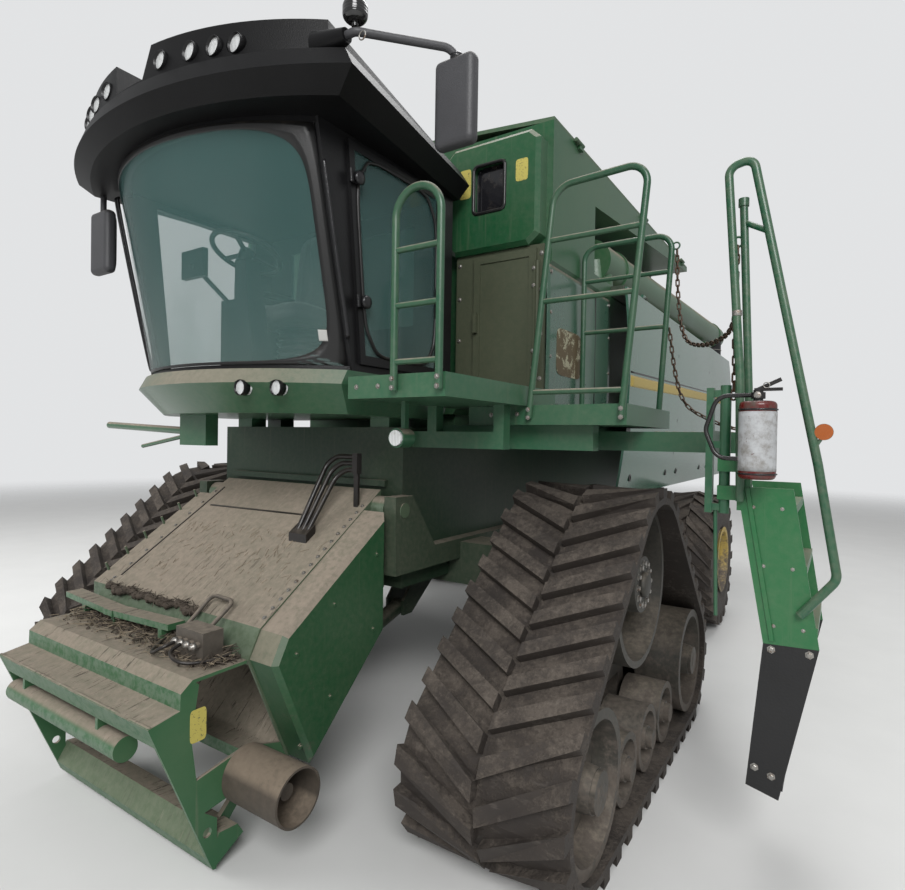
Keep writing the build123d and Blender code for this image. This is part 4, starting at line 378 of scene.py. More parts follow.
def trodden_top(name, paint, dust):
    """Green sheet under a worn coat of dust. The lower half is scraped by straw that slides down it.

    The scrapes are noise drawn out along the slope, and stay on faces that look up."""
    f = Finish(name, Specular_IOR_Level=0.4)
    broad, fine, grit = f.noise(1.3, 5), f.noise(30, 6, 0.7), f.noise(300, 2)
    up, along, height = f.axis("Z", f.facing), f.axis("Y", f.facing), f.axis("Z")
    top = up.rise(0.30, 0.75)
    runs = f.noise(30, 4, 0.6, (1, 1, 0.04)).rise(0.5, 0.78)
    powder = (top * ((fine - 0.5) * 0.5 + (broad - 0.5) * 0.35 + 0.93)).highest((broad - 0.5) * 0.5 + dust)
    colour = f.mix(powder.highest(runs * 0.3), f.shade(paint, broad * 0.4 + 0.8),
                   f.shade(DUST, fine * 0.55 + 0.72))
    scrapes = f.noise(60, 5, 0.7, (1, 0.13, 0.13)).rise(0.565, 0.62) * f.noise(4, 3).rise(0.42, 0.54)
    scrapes = scrapes * top * (1.25 - height).rise(-0.25, 0.35)
    colour = f.mix(scrapes * 0.8, colour, (0.040, 0.032, 0.026))
    pale = f.noise(60, 4, 0.6, (1, 0.10, 0.10)).rise(0.60, 0.70) * top
    colour = f.mix(pale * 0.35, colour, (0.33, 0.285, 0.23))
    bare = (0.0 - along).rise(0.75, 0.98) * fine.rise(0.35, 0.6) * (1.0 - top)
    colour = f.mix(bare * 0.5, colour, (0.15, 0.19, 0.145))
    under = f.bump(grit, 0.0003)
    return f.end(colour, powder * 0.42 + 0.44, f.bump(powder * fine, 0.0025, under))


wear(trodden_top("feeder_paint", (0.012, 0.060, 0.024), 0.25), "feeder_house", "feeder_tray")
adapter_paint = wear(trodden_top("adapter_paint", (0.010, 0.085, 0.028), 0.12), "header_adapter")
cover_paint = wear(soiled_paint("cover_paint", (0.006, 0.058, 0.020), dust=0.05, lying=0.85, mud=0.10),
                   "feeder_shield")
guard_paint = wear(soiled_paint("guard_paint", (0.020, 0.017, 0.014), dust=0.22, lying=0.80, gloss=0.6,
                                dust_colour=(0.17, 0.135, 0.10)), "shaft_guard")
# The lift barrels take the frame's paint, darkened as painted shade.
wear(frame_dirt_and_painted_shade, "lift_barrels")


def dark_rubber(name, colour=(0.012, 0.010, 0.009)):
    """Hydraulic hose rubber, oily and dusty in patches."""
    f = Finish(name, Specular_IOR_Level=0.4)
    oil, dusting = f.noise(12, 4), f.noise(160, 3)
    film = (oil * 0.8 + f.axis("Z", f.facing) * 0.3).rise(0.45, 0.95)
    return f.end(f.mix(film * 0.6, colour, (0.12, 0.10, 0.08)), film * 0.4 + 0.32, f.bump(dusting, 0.0006))


hose_rubber = wear(dark_rubber("hose_rubber"), "feeder_hoses")
seam_black = dark_rubber("seam_black", (0.009, 0.008, 0.007))
wear(soiled_paint("coupler_paint", (0.014, 0.013, 0.012), dust=0.22, lying=0.45, gloss=0.45), "coupler")


def tube_faces(rings, sides):
    """The faces of a tube of rings, with one flat face over each end."""
    last = (rings - 1) * sides
    return grid_faces(rings, sides, False, True).tolist() + [range(sides), range(last, last + sides)]


def strip_along(name, body, material, start, end, aside, lift, half, steps=24):
    """A flat folded strip between two places: half to each side, its middle lift above the sheet."""
    start, end, aside, lift = (np.asarray(v, float) for v in (start, end, aside, lift))
    across, height = np.array([(-1, 0), (-0.8, 1), (0.8, 1), (1, 0)]).T[..., None]
    share = np.linspace(0, 1, steps)[:, None, None]
    points = start + share * (end - start) + across * half * aside + height * lift
    return skin(name, body, material, points, tube_faces(steps, 4), False)


SLOPE_UP, SLOPE_DOWN = unit(np.array([0.0, -0.5706, 0.8212])), (0, -0.8212, -0.5706)
strip_along("feeder_cross_seam", "feeder", seam_black, on_slope(-0.545, -0.906), on_slope(0.320, -0.898),
            SLOPE_DOWN, SLOPE_UP * 0.004, 0.006)
strip_along("feeder_long_seam", "feeder", seam_black, on_slope(-0.606, -0.760), on_slope(-0.616, -1.430),
            -X, SLOPE_UP * 0.004, 0.005)
edge_y = np.linspace(-0.80, -1.45, 15)
cover_y, cover_z = (-0.90, -0.92, -1.20, -1.22, -1.43, -1.40), (1.24, 0.86, 1.05, 0.62, 0.88, 0.46)
studs("feeder_edge_bolts", "feeder", on_slope(EDGE_X, edge_y), SLOPE_UP, 0.008, 0.007)
studs("feeder_right_bolts", "feeder", on_slope(-0.650, np.append(edge_y[::2], -1.47)), SLOPE_UP, 0.008, 0.007)
studs("feeder_cover_bolts", "feeder", places_at(COVER_FACE, cover_y, cover_z), X, 0.009, 0.007, cover_paint)


def crossed_strands(name, material, middles, turns, lengths, half):
    """Broken stems on the feeder: three-sided rods round their middles, each along its own direction."""
    along = unit(turns)[:, None, None]
    ring = ring_of(0, 1, 3, *square_to(along, (0.21, 0.13, 0.97)))
    ends = np.array([-0.5, 0.5])[:, None, None] * along * lengths[:, None, None, None]
    points = middles[:, None, None] + ends + ring * half[:, None, None, None]
    faces = repeated([(0, 1, 4, 3), (1, 2, 5, 4), (2, 0, 3, 5)], len(middles), 6)
    faces += repeated([(2, 1, 0), (3, 4, 5)], len(middles), 6)
    return skin(name, "feeder", material, points, faces, False)


def plant_litter(name, low, high):
    """Dry stems and chaff, each piece of its own shade by noise of about their size."""
    f = Finish(name, Roughness=0.85)
    tone, fine = f.noise(24, 3, 0.7), f.noise(200, 3)
    return f.end(f.mix(tone * 1.3 - 0.15, low, high), normal=f.bump(fine, 0.001))


straw_tan = plant_litter("straw_tan", (0.075, 0.055, 0.036), (0.34, 0.28, 0.20))
dark_litter = plant_litter("dark_litter", (0.018, 0.013, 0.010), (0.095, 0.075, 0.056))
litter = np.random.default_rng(41)


def scattered(count, x, y, lean):
    """Places thrown at random in a patch, thicker towards its rear, and flat directions at random."""
    spots = np.stack([litter.uniform(*x, count), y[0] + (y[1] - y[0]) * litter.beta(2.2, 1.0, count)], axis=1)
    turn = litter.uniform(0, np.pi, count)
    return spots, np.stack([np.cos(turn), np.sin(turn), litter.normal(0, lean, count)], axis=1)


for name, finish, count, patch_x, patch_y, reach, thick in (
    ("hood_straw", straw_tan, 620, (-0.64, 0.64), (-1.800, -1.575), (0.02, 0.085), 0.0016),
    ("hood_litter", dark_litter, 560, (-0.60, 0.64), (-1.740, -1.570), (0.015, 0.070), 0.0028),
    ("coupler_litter", dark_litter, 300, (0.20, 0.64), (-1.745, -1.575), (0.03, 0.10), 0.0032),
):
    spots, turns = scattered(count, patch_x, patch_y, 0.22)
    heights = HOOD_HEIGHT + 0.004 + litter.gamma(1.6, 0.007, count)
    crossed_strands(name, finish, np.column_stack([spots, heights]), turns,
                    litter.uniform(*reach, count), litter.uniform(0.5, 1.3, count) * thick)

SLOPE_STEMS, CRUMBS = 150, 380
spots, turns = scattered(SLOPE_STEMS, (-0.64, 0.62), (-1.47, -1.02), 0.0)
turns[:, 1] = np.abs(turns[:, 1]) * 2.5 + 0.4
turns[:, 2] = turns[:, 1] * 0.695
crossed_strands("slope_straw", straw_tan, on_slope(*spots.T, 0.002), turns,
                litter.uniform(0.010, 0.055, SLOPE_STEMS), litter.uniform(0.0008, 0.0016, SLOPE_STEMS))

# Clods of dirt: eight-sided lumps whose six corners stand at uneven distances
spots, turns = scattered(CRUMBS, (-0.62, 0.64), (-1.79, -1.575), 0.0)
spots = np.column_stack([spots, HOOD_HEIGHT + litter.uniform(0, 0.006, CRUMBS)])
sizes = litter.uniform(0.003, 0.011, CRUMBS)
lumps = litter.uniform(0.6, 1.3, (CRUMBS, 6, 1)) * np.stack([X, Y, -X, -Y, Z, -Z])
lumps += litter.normal(0, 0.18, lumps.shape)
lump_faces = [(k, (k + 1) % 4, 4) for k in range(4)] + [((k + 1) % 4, k, 5) for k in range(4)]
skin("hood_crumbs", "feeder", dark_litter, spots[:, None] + lumps * sizes[:, None, None],
     repeated(lump_faces, CRUMBS, 6), False)


def smooth_path(corners, rounds=4, cut=0.25, closed=False):
    """A path through rounded corners: each round puts two places in every run, a share in from its ends."""
    path = np.asarray(corners, float)
    for _ in range(rounds):
        near, far = (path, np.roll(path, -1, axis=0)) if closed else (path[:-1], path[1:])
        inner = np.stack([(1 - cut) * near + cut * far, cut * near + (1 - cut) * far], axis=1).reshape(-1, 3)
        path = inner if closed else np.concatenate([path[:1], inner, path[-1:]])
    return path


def pipe(name, body, material, path, radius, sides=12, aside=(0.02, 0.03, 1.0), closed=False):
    """A round section carried along a path: path + radius * (cos a * u + sin a * v), u and v square to it.

    radius is one number or one for each place, and aside any direction that the path doesn't take."""
    path = np.asarray(path, float)
    ahead = np.roll(path, -1, 0) - np.roll(path, 1, 0) if closed else np.gradient(path, axis=0)
    u, v = square_to(unit(ahead)[:, None], aside)
    width = np.broadcast_to(radius, (len(path),))[:, None, None]
    faces = grid_faces(len(path), sides, True, True) if closed else tube_faces(len(path), sides)
    return skin(name, body, material, ring_of(path[:, None], width, sides, u, v), faces)


# A rope of matted stems lies where the slope meets the hood
MAT_STEPS, MAT_STEMS = 90, 260
mat_x = np.linspace(-0.60, 0.22, MAT_STEPS)
mat_path = places_at(mat_x, -1.512 + 0.010 * np.sin(mat_x * 17) - 0.012 * np.cos(mat_x * 41),
                     0.984 + 0.006 * np.sin(mat_x * 29))
pipe("matted_stems", "feeder", dark_litter, mat_path, litter.uniform(0.010, 0.026, MAT_STEPS), 9)
mat_turns = np.stack([litter.normal(mean, spread, MAT_STEMS)
                      for mean, spread in ((1, 0.3), (0, 0.6), (0, 0.35))], axis=1)
mat_spots = mat_path[litter.integers(0, MAT_STEPS, MAT_STEMS)] + litter.normal(0, 0.008, (MAT_STEMS, 3))
crossed_strands("matted_ends", dark_litter, mat_spots + 0.010 * Z, mat_turns,
                litter.uniform(0.03, 0.10, MAT_STEMS), litter.uniform(0.0012, 0.0026, MAT_STEMS))

# Hood's bent lip with its dents, and the sockets and lines of the coupler
lip_x = np.linspace(-0.667, 0.667, 80)
dents = 0.006 * np.clip(np.sin(lip_x * 9.0) * np.sin(lip_x * 23.0) - 0.15, 0, 1)
pipe("hood_lip", "feeder", adapter_paint, places_at(lip_x, -1.9925 + dents, 0.7265 - dents * 1.4), 0.0085, 10)
for k in range(4):
    turned(f"coupler_socket_{k}", "feeder", bolt_steel, (0.395 + 0.044 * k, -1.722, 0.9353), -Y,
           [(-0.004, 0.0165), (0.010, 0.0165), (0.012, 0.012), (0.020, 0.0105), (0.021, 0.004)], 18)
for k, corners in enumerate((
    ((0.405, -1.735, 0.935), (0.400, -1.790, 0.925), (0.330, -1.800, 0.885), (0.250, -1.740, 0.875),
     (0.180, -1.640, 0.880)),
    ((0.449, -1.735, 0.935), (0.455, -1.800, 0.915), (0.540, -1.795, 0.885), (0.600, -1.700, 0.880),
     (0.610, -1.600, 0.885)),
)):
    pipe(f"coupler_line_{k}", "feeder", hose_rubber, smooth_path(corners), 0.008, 10)


def worn_yellow():
    """A blank sticker, faded and scratched, with its edges gone."""
    f = Finish("decal_yellow", Roughness=0.5)
    scratch = f.noise(90, 4, 0.7).rise(0.56, 0.66)
    return f.end(f.mix(scratch, (0.42, 0.36, 0.085), (0.10, 0.10, 0.05)))


def sticker(name, body, material, low, high, sides=40):
    """A thin plate with rounded corners, lying between two opposite corners of a flat place.

    Its outline is a rounded rectangle: the cosine and sine to a power of 0.3, with their signs kept."""
    low, high = np.asarray(low, float), np.asarray(high, float)
    flat = int(np.argmin(high - low))
    one, two = [k for k in range(3) if k != flat]
    a = np.arange(sides) * 2 * np.pi / sides
    half, middle = (high - low) / 2, (high + low) / 2
    points = np.zeros((2, sides, 3)) + middle
    for k, wave in ((one, np.cos(a)), (two, np.sin(a))):
        points[..., k] += half[k] * np.sign(wave) * np.abs(wave) ** 0.30
    points[..., flat] = np.array([low[flat], high[flat]])[:, None]
    return skin(name, body, material, points, tube_faces(2, sides), False)


decal_yellow = worn_yellow()
sticker("adapter_sticker", "feeder", decal_yellow, (0.6690, -1.829, 0.600), (0.6705, -1.756, 0.734))


def polished_rod():
    """Hard chrome with the fine marks of its turning."""
    f = Finish("polished_rod", Metallic=1.0)
    marks = f.noise(60, 3, 0.6, (0.1, 1, 1))
    return f.end(f.mix(marks, (0.55, 0.55, 0.54), (0.72, 0.72, 0.70)), marks * 0.2 + 0.12)


wear(polished_rod(), "lift_rods")


# Body, grain tank and covers
# Folded green sheet. The tank's slopes and the door behind the cab are brown with dust.

# Painted shade: the threshing body and chopper case are painted a very dark green for the shadow under the
# cab; the dust on them is real.
wear(soiled_paint("body_dust_and_painted_shade", (0.004, 0.026, 0.011), dust=0.05, mud=0.1, gloss=0.45, lying=0.5),
     "threshing_body", "chopper_case")
wear(soiled_paint("tank_paint", (0.009, 0.068, 0.025), dust=0.07, lying=0.60, gloss=0.30),
     "grain_tank", "rear_hood")
wear(soiled_paint("panel_paint", (0.028, 0.048, 0.024), dust=0.38, gloss=0.5, dust_colour=(0.09, 0.08, 0.05)),
     "bulkhead", "service_door")
wear(soiled_paint("lid_paint", (0.012, 0.070, 0.028), dust=0.22, lying=0.62, gloss=0.45),
     "tank_cover_left", "tank_cover_right")


def dark_pane():
    """The tank's small window: dark safety glass with grain dust behind and on it."""
    f = Finish("tank_window_glass", Specular_IOR_Level=0.55)
    smear = f.noise(14, 5, 0.7).rise(0.5, 0.8)
    return f.end(f.mix(smear * 0.6, (0.010, 0.010, 0.012), (0.075, 0.062, 0.050)), smear * 0.4 + 0.08)


def rounded_loop(middle, half, corner, y, count=96):
    """A closed path in an upright plane: a rectangle whose corners are quarter circles."""
    a = np.linspace(0, 2 * np.pi, count, endpoint=False) + 0.01
    turn = np.stack([np.cos(a), np.sin(a)], axis=1)
    x, z = (middle + (np.asarray(half) - corner) * np.sign(turn) + corner * turn).T
    return places_at(x, y, z)


WINDOW_MIDDLE, WINDOW_HALF = (1.010, 3.3625), (0.108, 0.145)
gasket_black = dark_rubber("gasket_black", (0.010, 0.010, 0.010))
sticker("tank_window", "machine", dark_pane(), (0.903, -0.070, 3.218), (1.117, -0.062, 3.507))
pipe("tank_window_gasket", "machine", gasket_black, rounded_loop(WINDOW_MIDDLE, WINDOW_HALF, 0.030, -0.110),
     0.011, 8, Y, True)
sticker("window_sticker_right", "machine", decal_yellow, (0.800, -0.1115, 3.327), (0.883, -0.1100, 3.506))
sticker("window_sticker_left", "machine", decal_yellow, (1.191, -0.1115, 3.357), (1.271, -0.1100, 3.486))
studs("bulkhead_bolts", "machine",
      [(x, -0.0665, z) for x in (0.785, 1.345) for z in (2.20, 2.46, 2.72, 2.93)], -Y, 0.010, 0.008)
studs("service_door_bolts", "service", places_at(1.312, -0.0985, [2.26, 2.36, 2.74, 2.84]), -Y, 0.008, 0.006)
pipe("service_door_seal", "service", gasket_black,
     rounded_loop((1.110, 2.555), (0.172, 0.368), 0.02, -0.0805), 0.006, 8, Y, True)


# Side panel between the bulkhead and the shield
# One upright painted sheet closes the gap under the tank's shoulder; a square sticker has been torn from it.
# It is bolted to the deck's edge and to the bulkhead, and its middle stands out by PANEL_BOW.

PANEL_FACE, PANEL_BOW, PANEL_FOOT, PANEL_RISE = 1.360, 0.006, 2.027, 0.861
# Partly painted reflection: the panel's green is tinted pale blue for a reflected bright ceiling, over its
# real coat; its dust and runs are real.
side_dust_and_painted_reflection = soiled_paint("side_dust_and_painted_reflection", (0.018, 0.085, 0.055), dust=0.14, gloss=0.20, streak=0.3, coat=0.3)

# Out is face + bow * (1 - (2 w - 1) squared), where w is the share of the height
w = np.linspace(0, 1, 20)[:, None]
skin("side_panel", "machine", side_dust_and_painted_reflection,
     places_at(PANEL_FACE + PANEL_BOW * (1 - (2 * w - 1) ** 2), np.linspace(-0.029, 1.090, 24),
               PANEL_FOOT + PANEL_RISE * w), grid_faces(20, 24), True, 0.006)


def torn_sticker():
    """Old glue and paper where a square sticker was: brown, with pale torn patches."""
    f = Finish("torn_sticker", Roughness=0.7)
    torn = (f.noise(11, 5, 0.75) + f.noise(70, 3) * 0.15).rise(0.60, 0.64)
    return f.end(f.mix(torn, (0.085, 0.062, 0.030), (0.30, 0.29, 0.20)), normal=f.bump(torn, 0.0006))


sticker("side_panel_sticker", "machine", torn_sticker(), (1.3705, 0.110, 2.240), (1.3730, 0.510, 2.530))
studs("side_panel_bolts", "machine", [(1.370, y, z) for y in (0.02, 1.06) for z in (2.10, 2.34, 2.60, 2.84)],
      X, 0.010, 0.008)
pipe("side_panel_seam", "machine", seam_black, places_at(1.3705, 0.775, np.linspace(2.03, 2.885, 30)),
     0.004, 6, (0, 1, 0.02))


# Side shields and rear hood
# Long bowed plastic sheets, glossy green, hang from rails; the hood over the straw walkers is the same green.

# Partly painted reflection: the shields' green is tinted pale blue for a reflected bright ceiling, over their
# real glossy coat; the dust on them is real.
wear(soiled_paint("shield_dust_and_painted_reflection", (0.020, 0.105, 0.066), dust=0.10, gloss=0.14, coat=0.5),
     "side_shield_left", "side_shield_right")
# The rails and engine take the frame's paint, darkened as painted shade.
wear(frame_dirt_and_painted_shade, "shield_rails", "engine")
wear(guard_paint, "spreader_disc_left", "spreader_disc_right")

SHIELD_ARC = ((1.4336, 1.4200), (1.5206, 2.1975), (1.4886, 2.9750))
STRIPE_REAR, STRIPE_FRONT, STRIPE_WIDTH, LINE_GAP, LINE_WIDTH = 5.785, 1.115, 0.085, 0.015, 0.014
LATCH_HEIGHT, LATCHES_Y = 1.56, np.array([1.35, 2.45, 2.87, 4.00, 4.43, 5.60])


def shield_x(z):
    """How far out the shield's sheet stands at a height: the circle through its foot, middle and head."""
    (x1, z1), (x2, z2), (x3, z3) = SHIELD_ARC
    a = np.array([[x2 - x1, z2 - z1], [x3 - x1, z3 - z1]]) * 2
    b = np.array([x2 * x2 - x1 * x1 + z2 * z2 - z1 * z1, x3 * x3 - x1 * x1 + z3 * z3 - z1 * z1])
    cx, cz = np.linalg.solve(a, b)
    return cx + np.sqrt((x1 - cx) ** 2 + (z1 - cz) ** 2 - (np.asarray(z) - cz) ** 2)


def shield_band(name, side, material, front, rear, low, high, thick=0.0015, steps=48):
    """A band that lies on the bowed sheet between two heights at each place along it."""
    y = np.linspace(front, rear, steps)[:, None]
    low, high = low + 0 * y, high + 0 * y
    z = low + np.linspace(0, 1, 6) * (high - low)
    points = places_at(side * (shield_x(z) + 0.0003), y, z)
    return skin(name, "shield_left" if side > 0 else "shield_right", material, points,
                grid_faces(steps, 6)[:, ::side], True, thick)


stripe_yellow = soiled_paint("stripe_yellow", (0.42, 0.31, 0.045), dust=0.22, gloss=0.3)
stripe_low = 2.245 + (np.linspace(STRIPE_FRONT, STRIPE_REAR, 48)[:, None] - 1.15) * 0.0237
line_low = stripe_low + STRIPE_WIDTH + LINE_GAP
for name, side in SIDES:
    shield_band("stripe_" + name, side, stripe_yellow, STRIPE_FRONT, STRIPE_REAR, stripe_low,
                stripe_low + STRIPE_WIDTH)
    shield_band("stripe_line_" + name, side, seam_black, STRIPE_FRONT, STRIPE_REAR, line_low,
                line_low + LINE_WIDTH)
    for k, y in enumerate((2.66, 4.22)):
        shield_band(f"shield_seam_{name}_{k}", side, seam_black, y - 0.007, y + 0.007, 1.425, 2.965, 0.001, 3)
    turned("shield_latches_" + name, "shield_" + name, seam_black,
           places_at(side * (shield_x(LATCH_HEIGHT) - 0.001), LATCHES_Y, LATCH_HEIGHT), side * X,
           [(-0.002, 0.030), (0.006, 0.028), (0.008, 0.018), (0.003, 0.014), (0.003, 0.004)], 22)


def ribbed_lens(name, low, high):
    """Moulded lamp glass with upright ribs."""
    f = Finish(name, Roughness=0.14, Coat_Weight=0.4)
    ribs = f.waves("X", 30.0)
    return f.end(f.mix(ribs, low, high), normal=f.bump(ribs, 0.001))


TAIL_FACE, TAIL_LAMP_HEIGHT = 6.012, 1.900
tail_red = ribbed_lens("tail_red", (0.22, 0.006, 0.006), (0.42, 0.02, 0.015))
tail_amber = ribbed_lens("tail_amber", (0.30, 0.09, 0.008), (0.55, 0.20, 0.02))
for side, s in SIDES:
    inner, outer = sorted((s * 0.86, s * 1.11))
    sticker("tail_lamp_base_" + side, "machine", seam_black, (inner, 5.999, 1.835), (outer, TAIL_FACE, 1.965))
    for hue, lens, x in (("red_", tail_red, 0.925), ("amber_", tail_amber, 1.045)):
        turned("tail_lamp_" + hue + side, "machine", lens, (s * x, TAIL_FACE, TAIL_LAMP_HEIGHT), Y,
               [(-0.004, 0.050), (0.006, 0.050), (0.013, 0.040), (0.016, 0.015)])
studs("hood_tail_bolts", "machine", [(x, 6.0, z) for z in (1.64, 2.21) for x in np.linspace(-1.08, 1.08, 10)],
      Y, 0.011, 0.009)

# Slatted air grille: along the height the sheet leans out by the depth and falls back, once for each slat
SLATS, SLAT_DEPTH, GRILLE_FACE, GRILLE_FOOT, GRILLE_RISE = 7, 0.016, -1.003, 3.010, 0.175
rows = np.arange(SLATS * 4 + 1)[:, None]
lean = np.where(rows % 4 == 3, 0.0, SLAT_DEPTH * (1 - (rows % 4) / 3.0))
skin("engine_grille_upper", "machine", seam_black,
     places_at(GRILLE_FACE - lean, np.linspace(3.72, 4.62, 9), GRILLE_FOOT + GRILLE_RISE * rows / rows[-1]),
     grid_faces(len(rows), 9), False, 0.002)
studs("engine_grille_bolts", "machine", [(-1.0005, y, z) for y in (3.69, 4.65) for z in (3.02, 3.10, 3.175)],
      -X, 0.009, 0.007)


# Unloading auger
# A long green tube that turns on an upright joint, with a black rubber spout at its end.

wear(soiled_paint("auger_paint", (0.010, 0.080, 0.028), lying=0.8, gloss=0.28), "auger_riser", "auger_tube")


def dull_black(name, grain=180, dust=0.15, base=(0.010, 0.010, 0.0105), gloss=0.55, shine=0.4):
    """Moulded black plastic or rubber with a fine grain and a film of dust."""
    f = Finish(name, Specular_IOR_Level=shine)
    leather = f.add("TexVoronoi", {"feature": "F1"}, {"Vector": f.place, "Scale": grain}, "Distance")
    broad, up = f.noise(3, 5), f.axis("Z", f.facing)
    film = (broad * 0.8 + up * 0.4 + (dust - 0.85)).rise(0.0, 0.5)
    colour = f.mix(film, f.shade(base, broad + 0.6), (0.115, 0.100, 0.082))
    return f.end(colour, film * 0.3 + gloss, f.bump(leather, 0.0006))


wear(dull_black("spout_rubber", 60, 0.3), "auger_spout")
AUGER_PIVOT, AUGER_LEAN = np.array([1.215, 1.150, 3.184]), math.radians(2)
AUGER_ALONG = np.array([0.0, math.cos(AUGER_LEAN), math.sin(AUGER_LEAN)])
for k, along in enumerate((0.300, 4.530)):
    flange = AUGER_PIVOT + AUGER_ALONG * (along + 0.0255)
    studs(f"auger_flange_bolts_{k}", "auger", ring_of(flange, 0.1715, 16, X, np.cross(X, AUGER_ALONG)),
          AUGER_ALONG, 0.0035, 0.006)
spout_neck = AUGER_PIVOT + AUGER_ALONG * 4.730 - 0.20 * Z
pipe("spout_clamp", "auger", bolt_steel, ring_of(spout_neck, 0.1515, 48, X, Y), 0.006, 8, Z, True)


# Cab
# A black welded frame with bonded panes, a green moulded nose and a black roof with work lamps.

wear(soiled_paint("nose_paint", (0.012, 0.082, 0.037), dust=0.11, lying=0.9, gloss=0.24, coat=0.25),
     "cab_base")
cab_black = wear(dull_black("cab_black", 140, 0.05, (0.007, 0.007, 0.0075), gloss=0.36, shine=0.3),
                 "cab_frame", "cab_door", "steering_column", "console")
wear(dull_black("roof_black", 220, 0.04, (0.0045, 0.0045, 0.0048), gloss=0.42, shine=0.16), "cab_roof")
wear(dull_black("mirror_grey", 150, 0.30, (0.040, 0.040, 0.043), 0.5), "mirrors")


def tinted_glass():
    """Blue-green tinted safety glass with a thin film of dust that lies thicker along its foot."""
    f = Finish("tinted_glass", IOR=1.5, Roughness=0.02)
    smear, height = f.noise(3, 4, 0.55, (1, 1, 0.35)), f.axis("Z")
    film = (smear * 0.6 - (height - 2.2) * 0.35 + 0.02).rise(0.0, 0.8)
    f.material.surface_render_method = "BLENDED"
    return f.end(f.mix(film, (0.090, 0.190, 0.180), (0.20, 0.24, 0.22)), alpha=film * 0.20 + 0.22)


def lamp_lens():
    """Pressed lamp glass: pale, fluted, with its bright reflector behind."""
    f = Finish("lamp_lens", Roughness=0.12, Coat_Weight=0.6)
    flutes, film = f.waves("X", 34.0), f.noise(40, 4).rise(0.5, 0.8)
    colour = f.mix(film * 0.5, f.mix(flutes, (0.42, 0.43, 0.43), (0.66, 0.67, 0.67)), (0.26, 0.24, 0.21))
    return f.end(colour, normal=f.bump(flutes, 0.0015))


wear(tinted_glass(), "cab_glass", "door_glass")
wear(lamp_lens(), "cab_lamps")

GLASS_FOOT, GLASS_HEAD = 2.165, 3.285
WINDSHIELD_HALF, WINDSHIELD_LOW, WINDSHIELD_HIGH = 0.805, 2.1873, 3.2597


def bowed_y(x, half, corner_y, bulge):
    """Place along the machine of a plan arc between two corners: an arc of a circle that bulges ahead."""
    r = (half ** 2 + bulge ** 2) / (2 * bulge)
    return corner_y + (r - bulge) - np.sqrt(r ** 2 - x ** 2)


def post_y(z):
    """Front face of the leaning front post at a height."""
    return -1.090 - 0.250 * (z - GLASS_FOOT) / (GLASS_HEAD - GLASS_FOOT)


bezel = np.array([(-0.030, 0.0436), (0.010, 0.0436), (0.013, 0.0425), (0.012, 0.0405), (-0.004, 0.0390),
                  (-0.006, 0.020)])
lamp_x = np.array([-0.620, -0.520, -0.400, -0.230, 0.230, 0.400, 0.520, 0.620])
nose_x = np.array([0.430, 0.590])
turned("roof_lamp_bezels", "machine", cab_black,
       places_at(lamp_x, bowed_y(lamp_x, 0.980, -1.412, 0.325), 3.522), -Y, bezel, 32)
turned("nose_lamp_bezels", "machine", cab_black,
       places_at(nose_x, bowed_y(nose_x, 0.830, -1.165, 0.350) + 0.005, 2.0697), -Y,
       bezel * (0.85, 0.87), 32)


def windshield(across, up, proud=0.0):
    """Places on the windshield's outer face: straight lines between the foot's arc and the head's arc.

    across runs from -1 to 1 and up from 0 to 1; proud moves the places out along the arc's radius."""
    x = WINDSHIELD_HALF * across
    foot = bowed_y(x, WINDSHIELD_HALF, post_y(WINDSHIELD_LOW) - 0.0061, 0.350)
    head = bowed_y(x, WINDSHIELD_HALF, post_y(WINDSHIELD_HIGH) - 0.0068, 0.290)
    lean = x / 1.20
    return places_at(x + proud * lean, foot + up * (head - foot) - proud * np.sqrt(1 - lean ** 2),
                     WINDSHIELD_LOW + up * (WINDSHIELD_HIGH - WINDSHIELD_LOW))


def windshield_border():
    """The black border fired on to the pane, a ring that blends from its round-cornered opening to the edge.

    The opening is a seventh-power ellipse in across and up."""
    a = np.linspace(0, 2 * np.pi, 160, endpoint=False)
    c, s = np.cos(a), np.sin(a)
    square = np.maximum(np.abs(c), np.abs(s))
    rounder = (np.abs(c) ** 7 + np.abs(s) ** 7) ** (1 / 7)
    share = np.linspace(0, 1, 4)[:, None]
    across = (1 - share) * 0.945 * c / rounder + share * c / square
    up = 0.5 + 0.5 * ((1 - share) * (0.950 * s / rounder) + share * s / square)
    return windshield(across, up - 0.012 * (1 - share) * (s < 0), 0.0006)


skin("windshield_border", "machine", gasket_black, windshield_border(), grid_faces(4, 160, False, True), True,
     0.0014)
patch_u, patch_v = np.meshgrid(np.linspace(0.895, 0.935, 8), np.linspace(0.105, 0.155, 8))
pale_label = soiled_paint("pale_label", (0.42, 0.43, 0.42), dust=0.25, gloss=0.5)
skin("windshield_label", "machine", pale_label, windshield(patch_u, patch_v, 0.0008), grid_faces(8, 8), True,
     0.001)

DOOR_FACE, DOOR_REAR, DOOR_LOW, DOOR_HIGH = 0.8508, -0.427, 2.248, 3.212


def door_edge_y(z):
    """The door's leaning front edge at a height."""
    return -1.035 - (z - GLASS_FOOT) * 0.10453


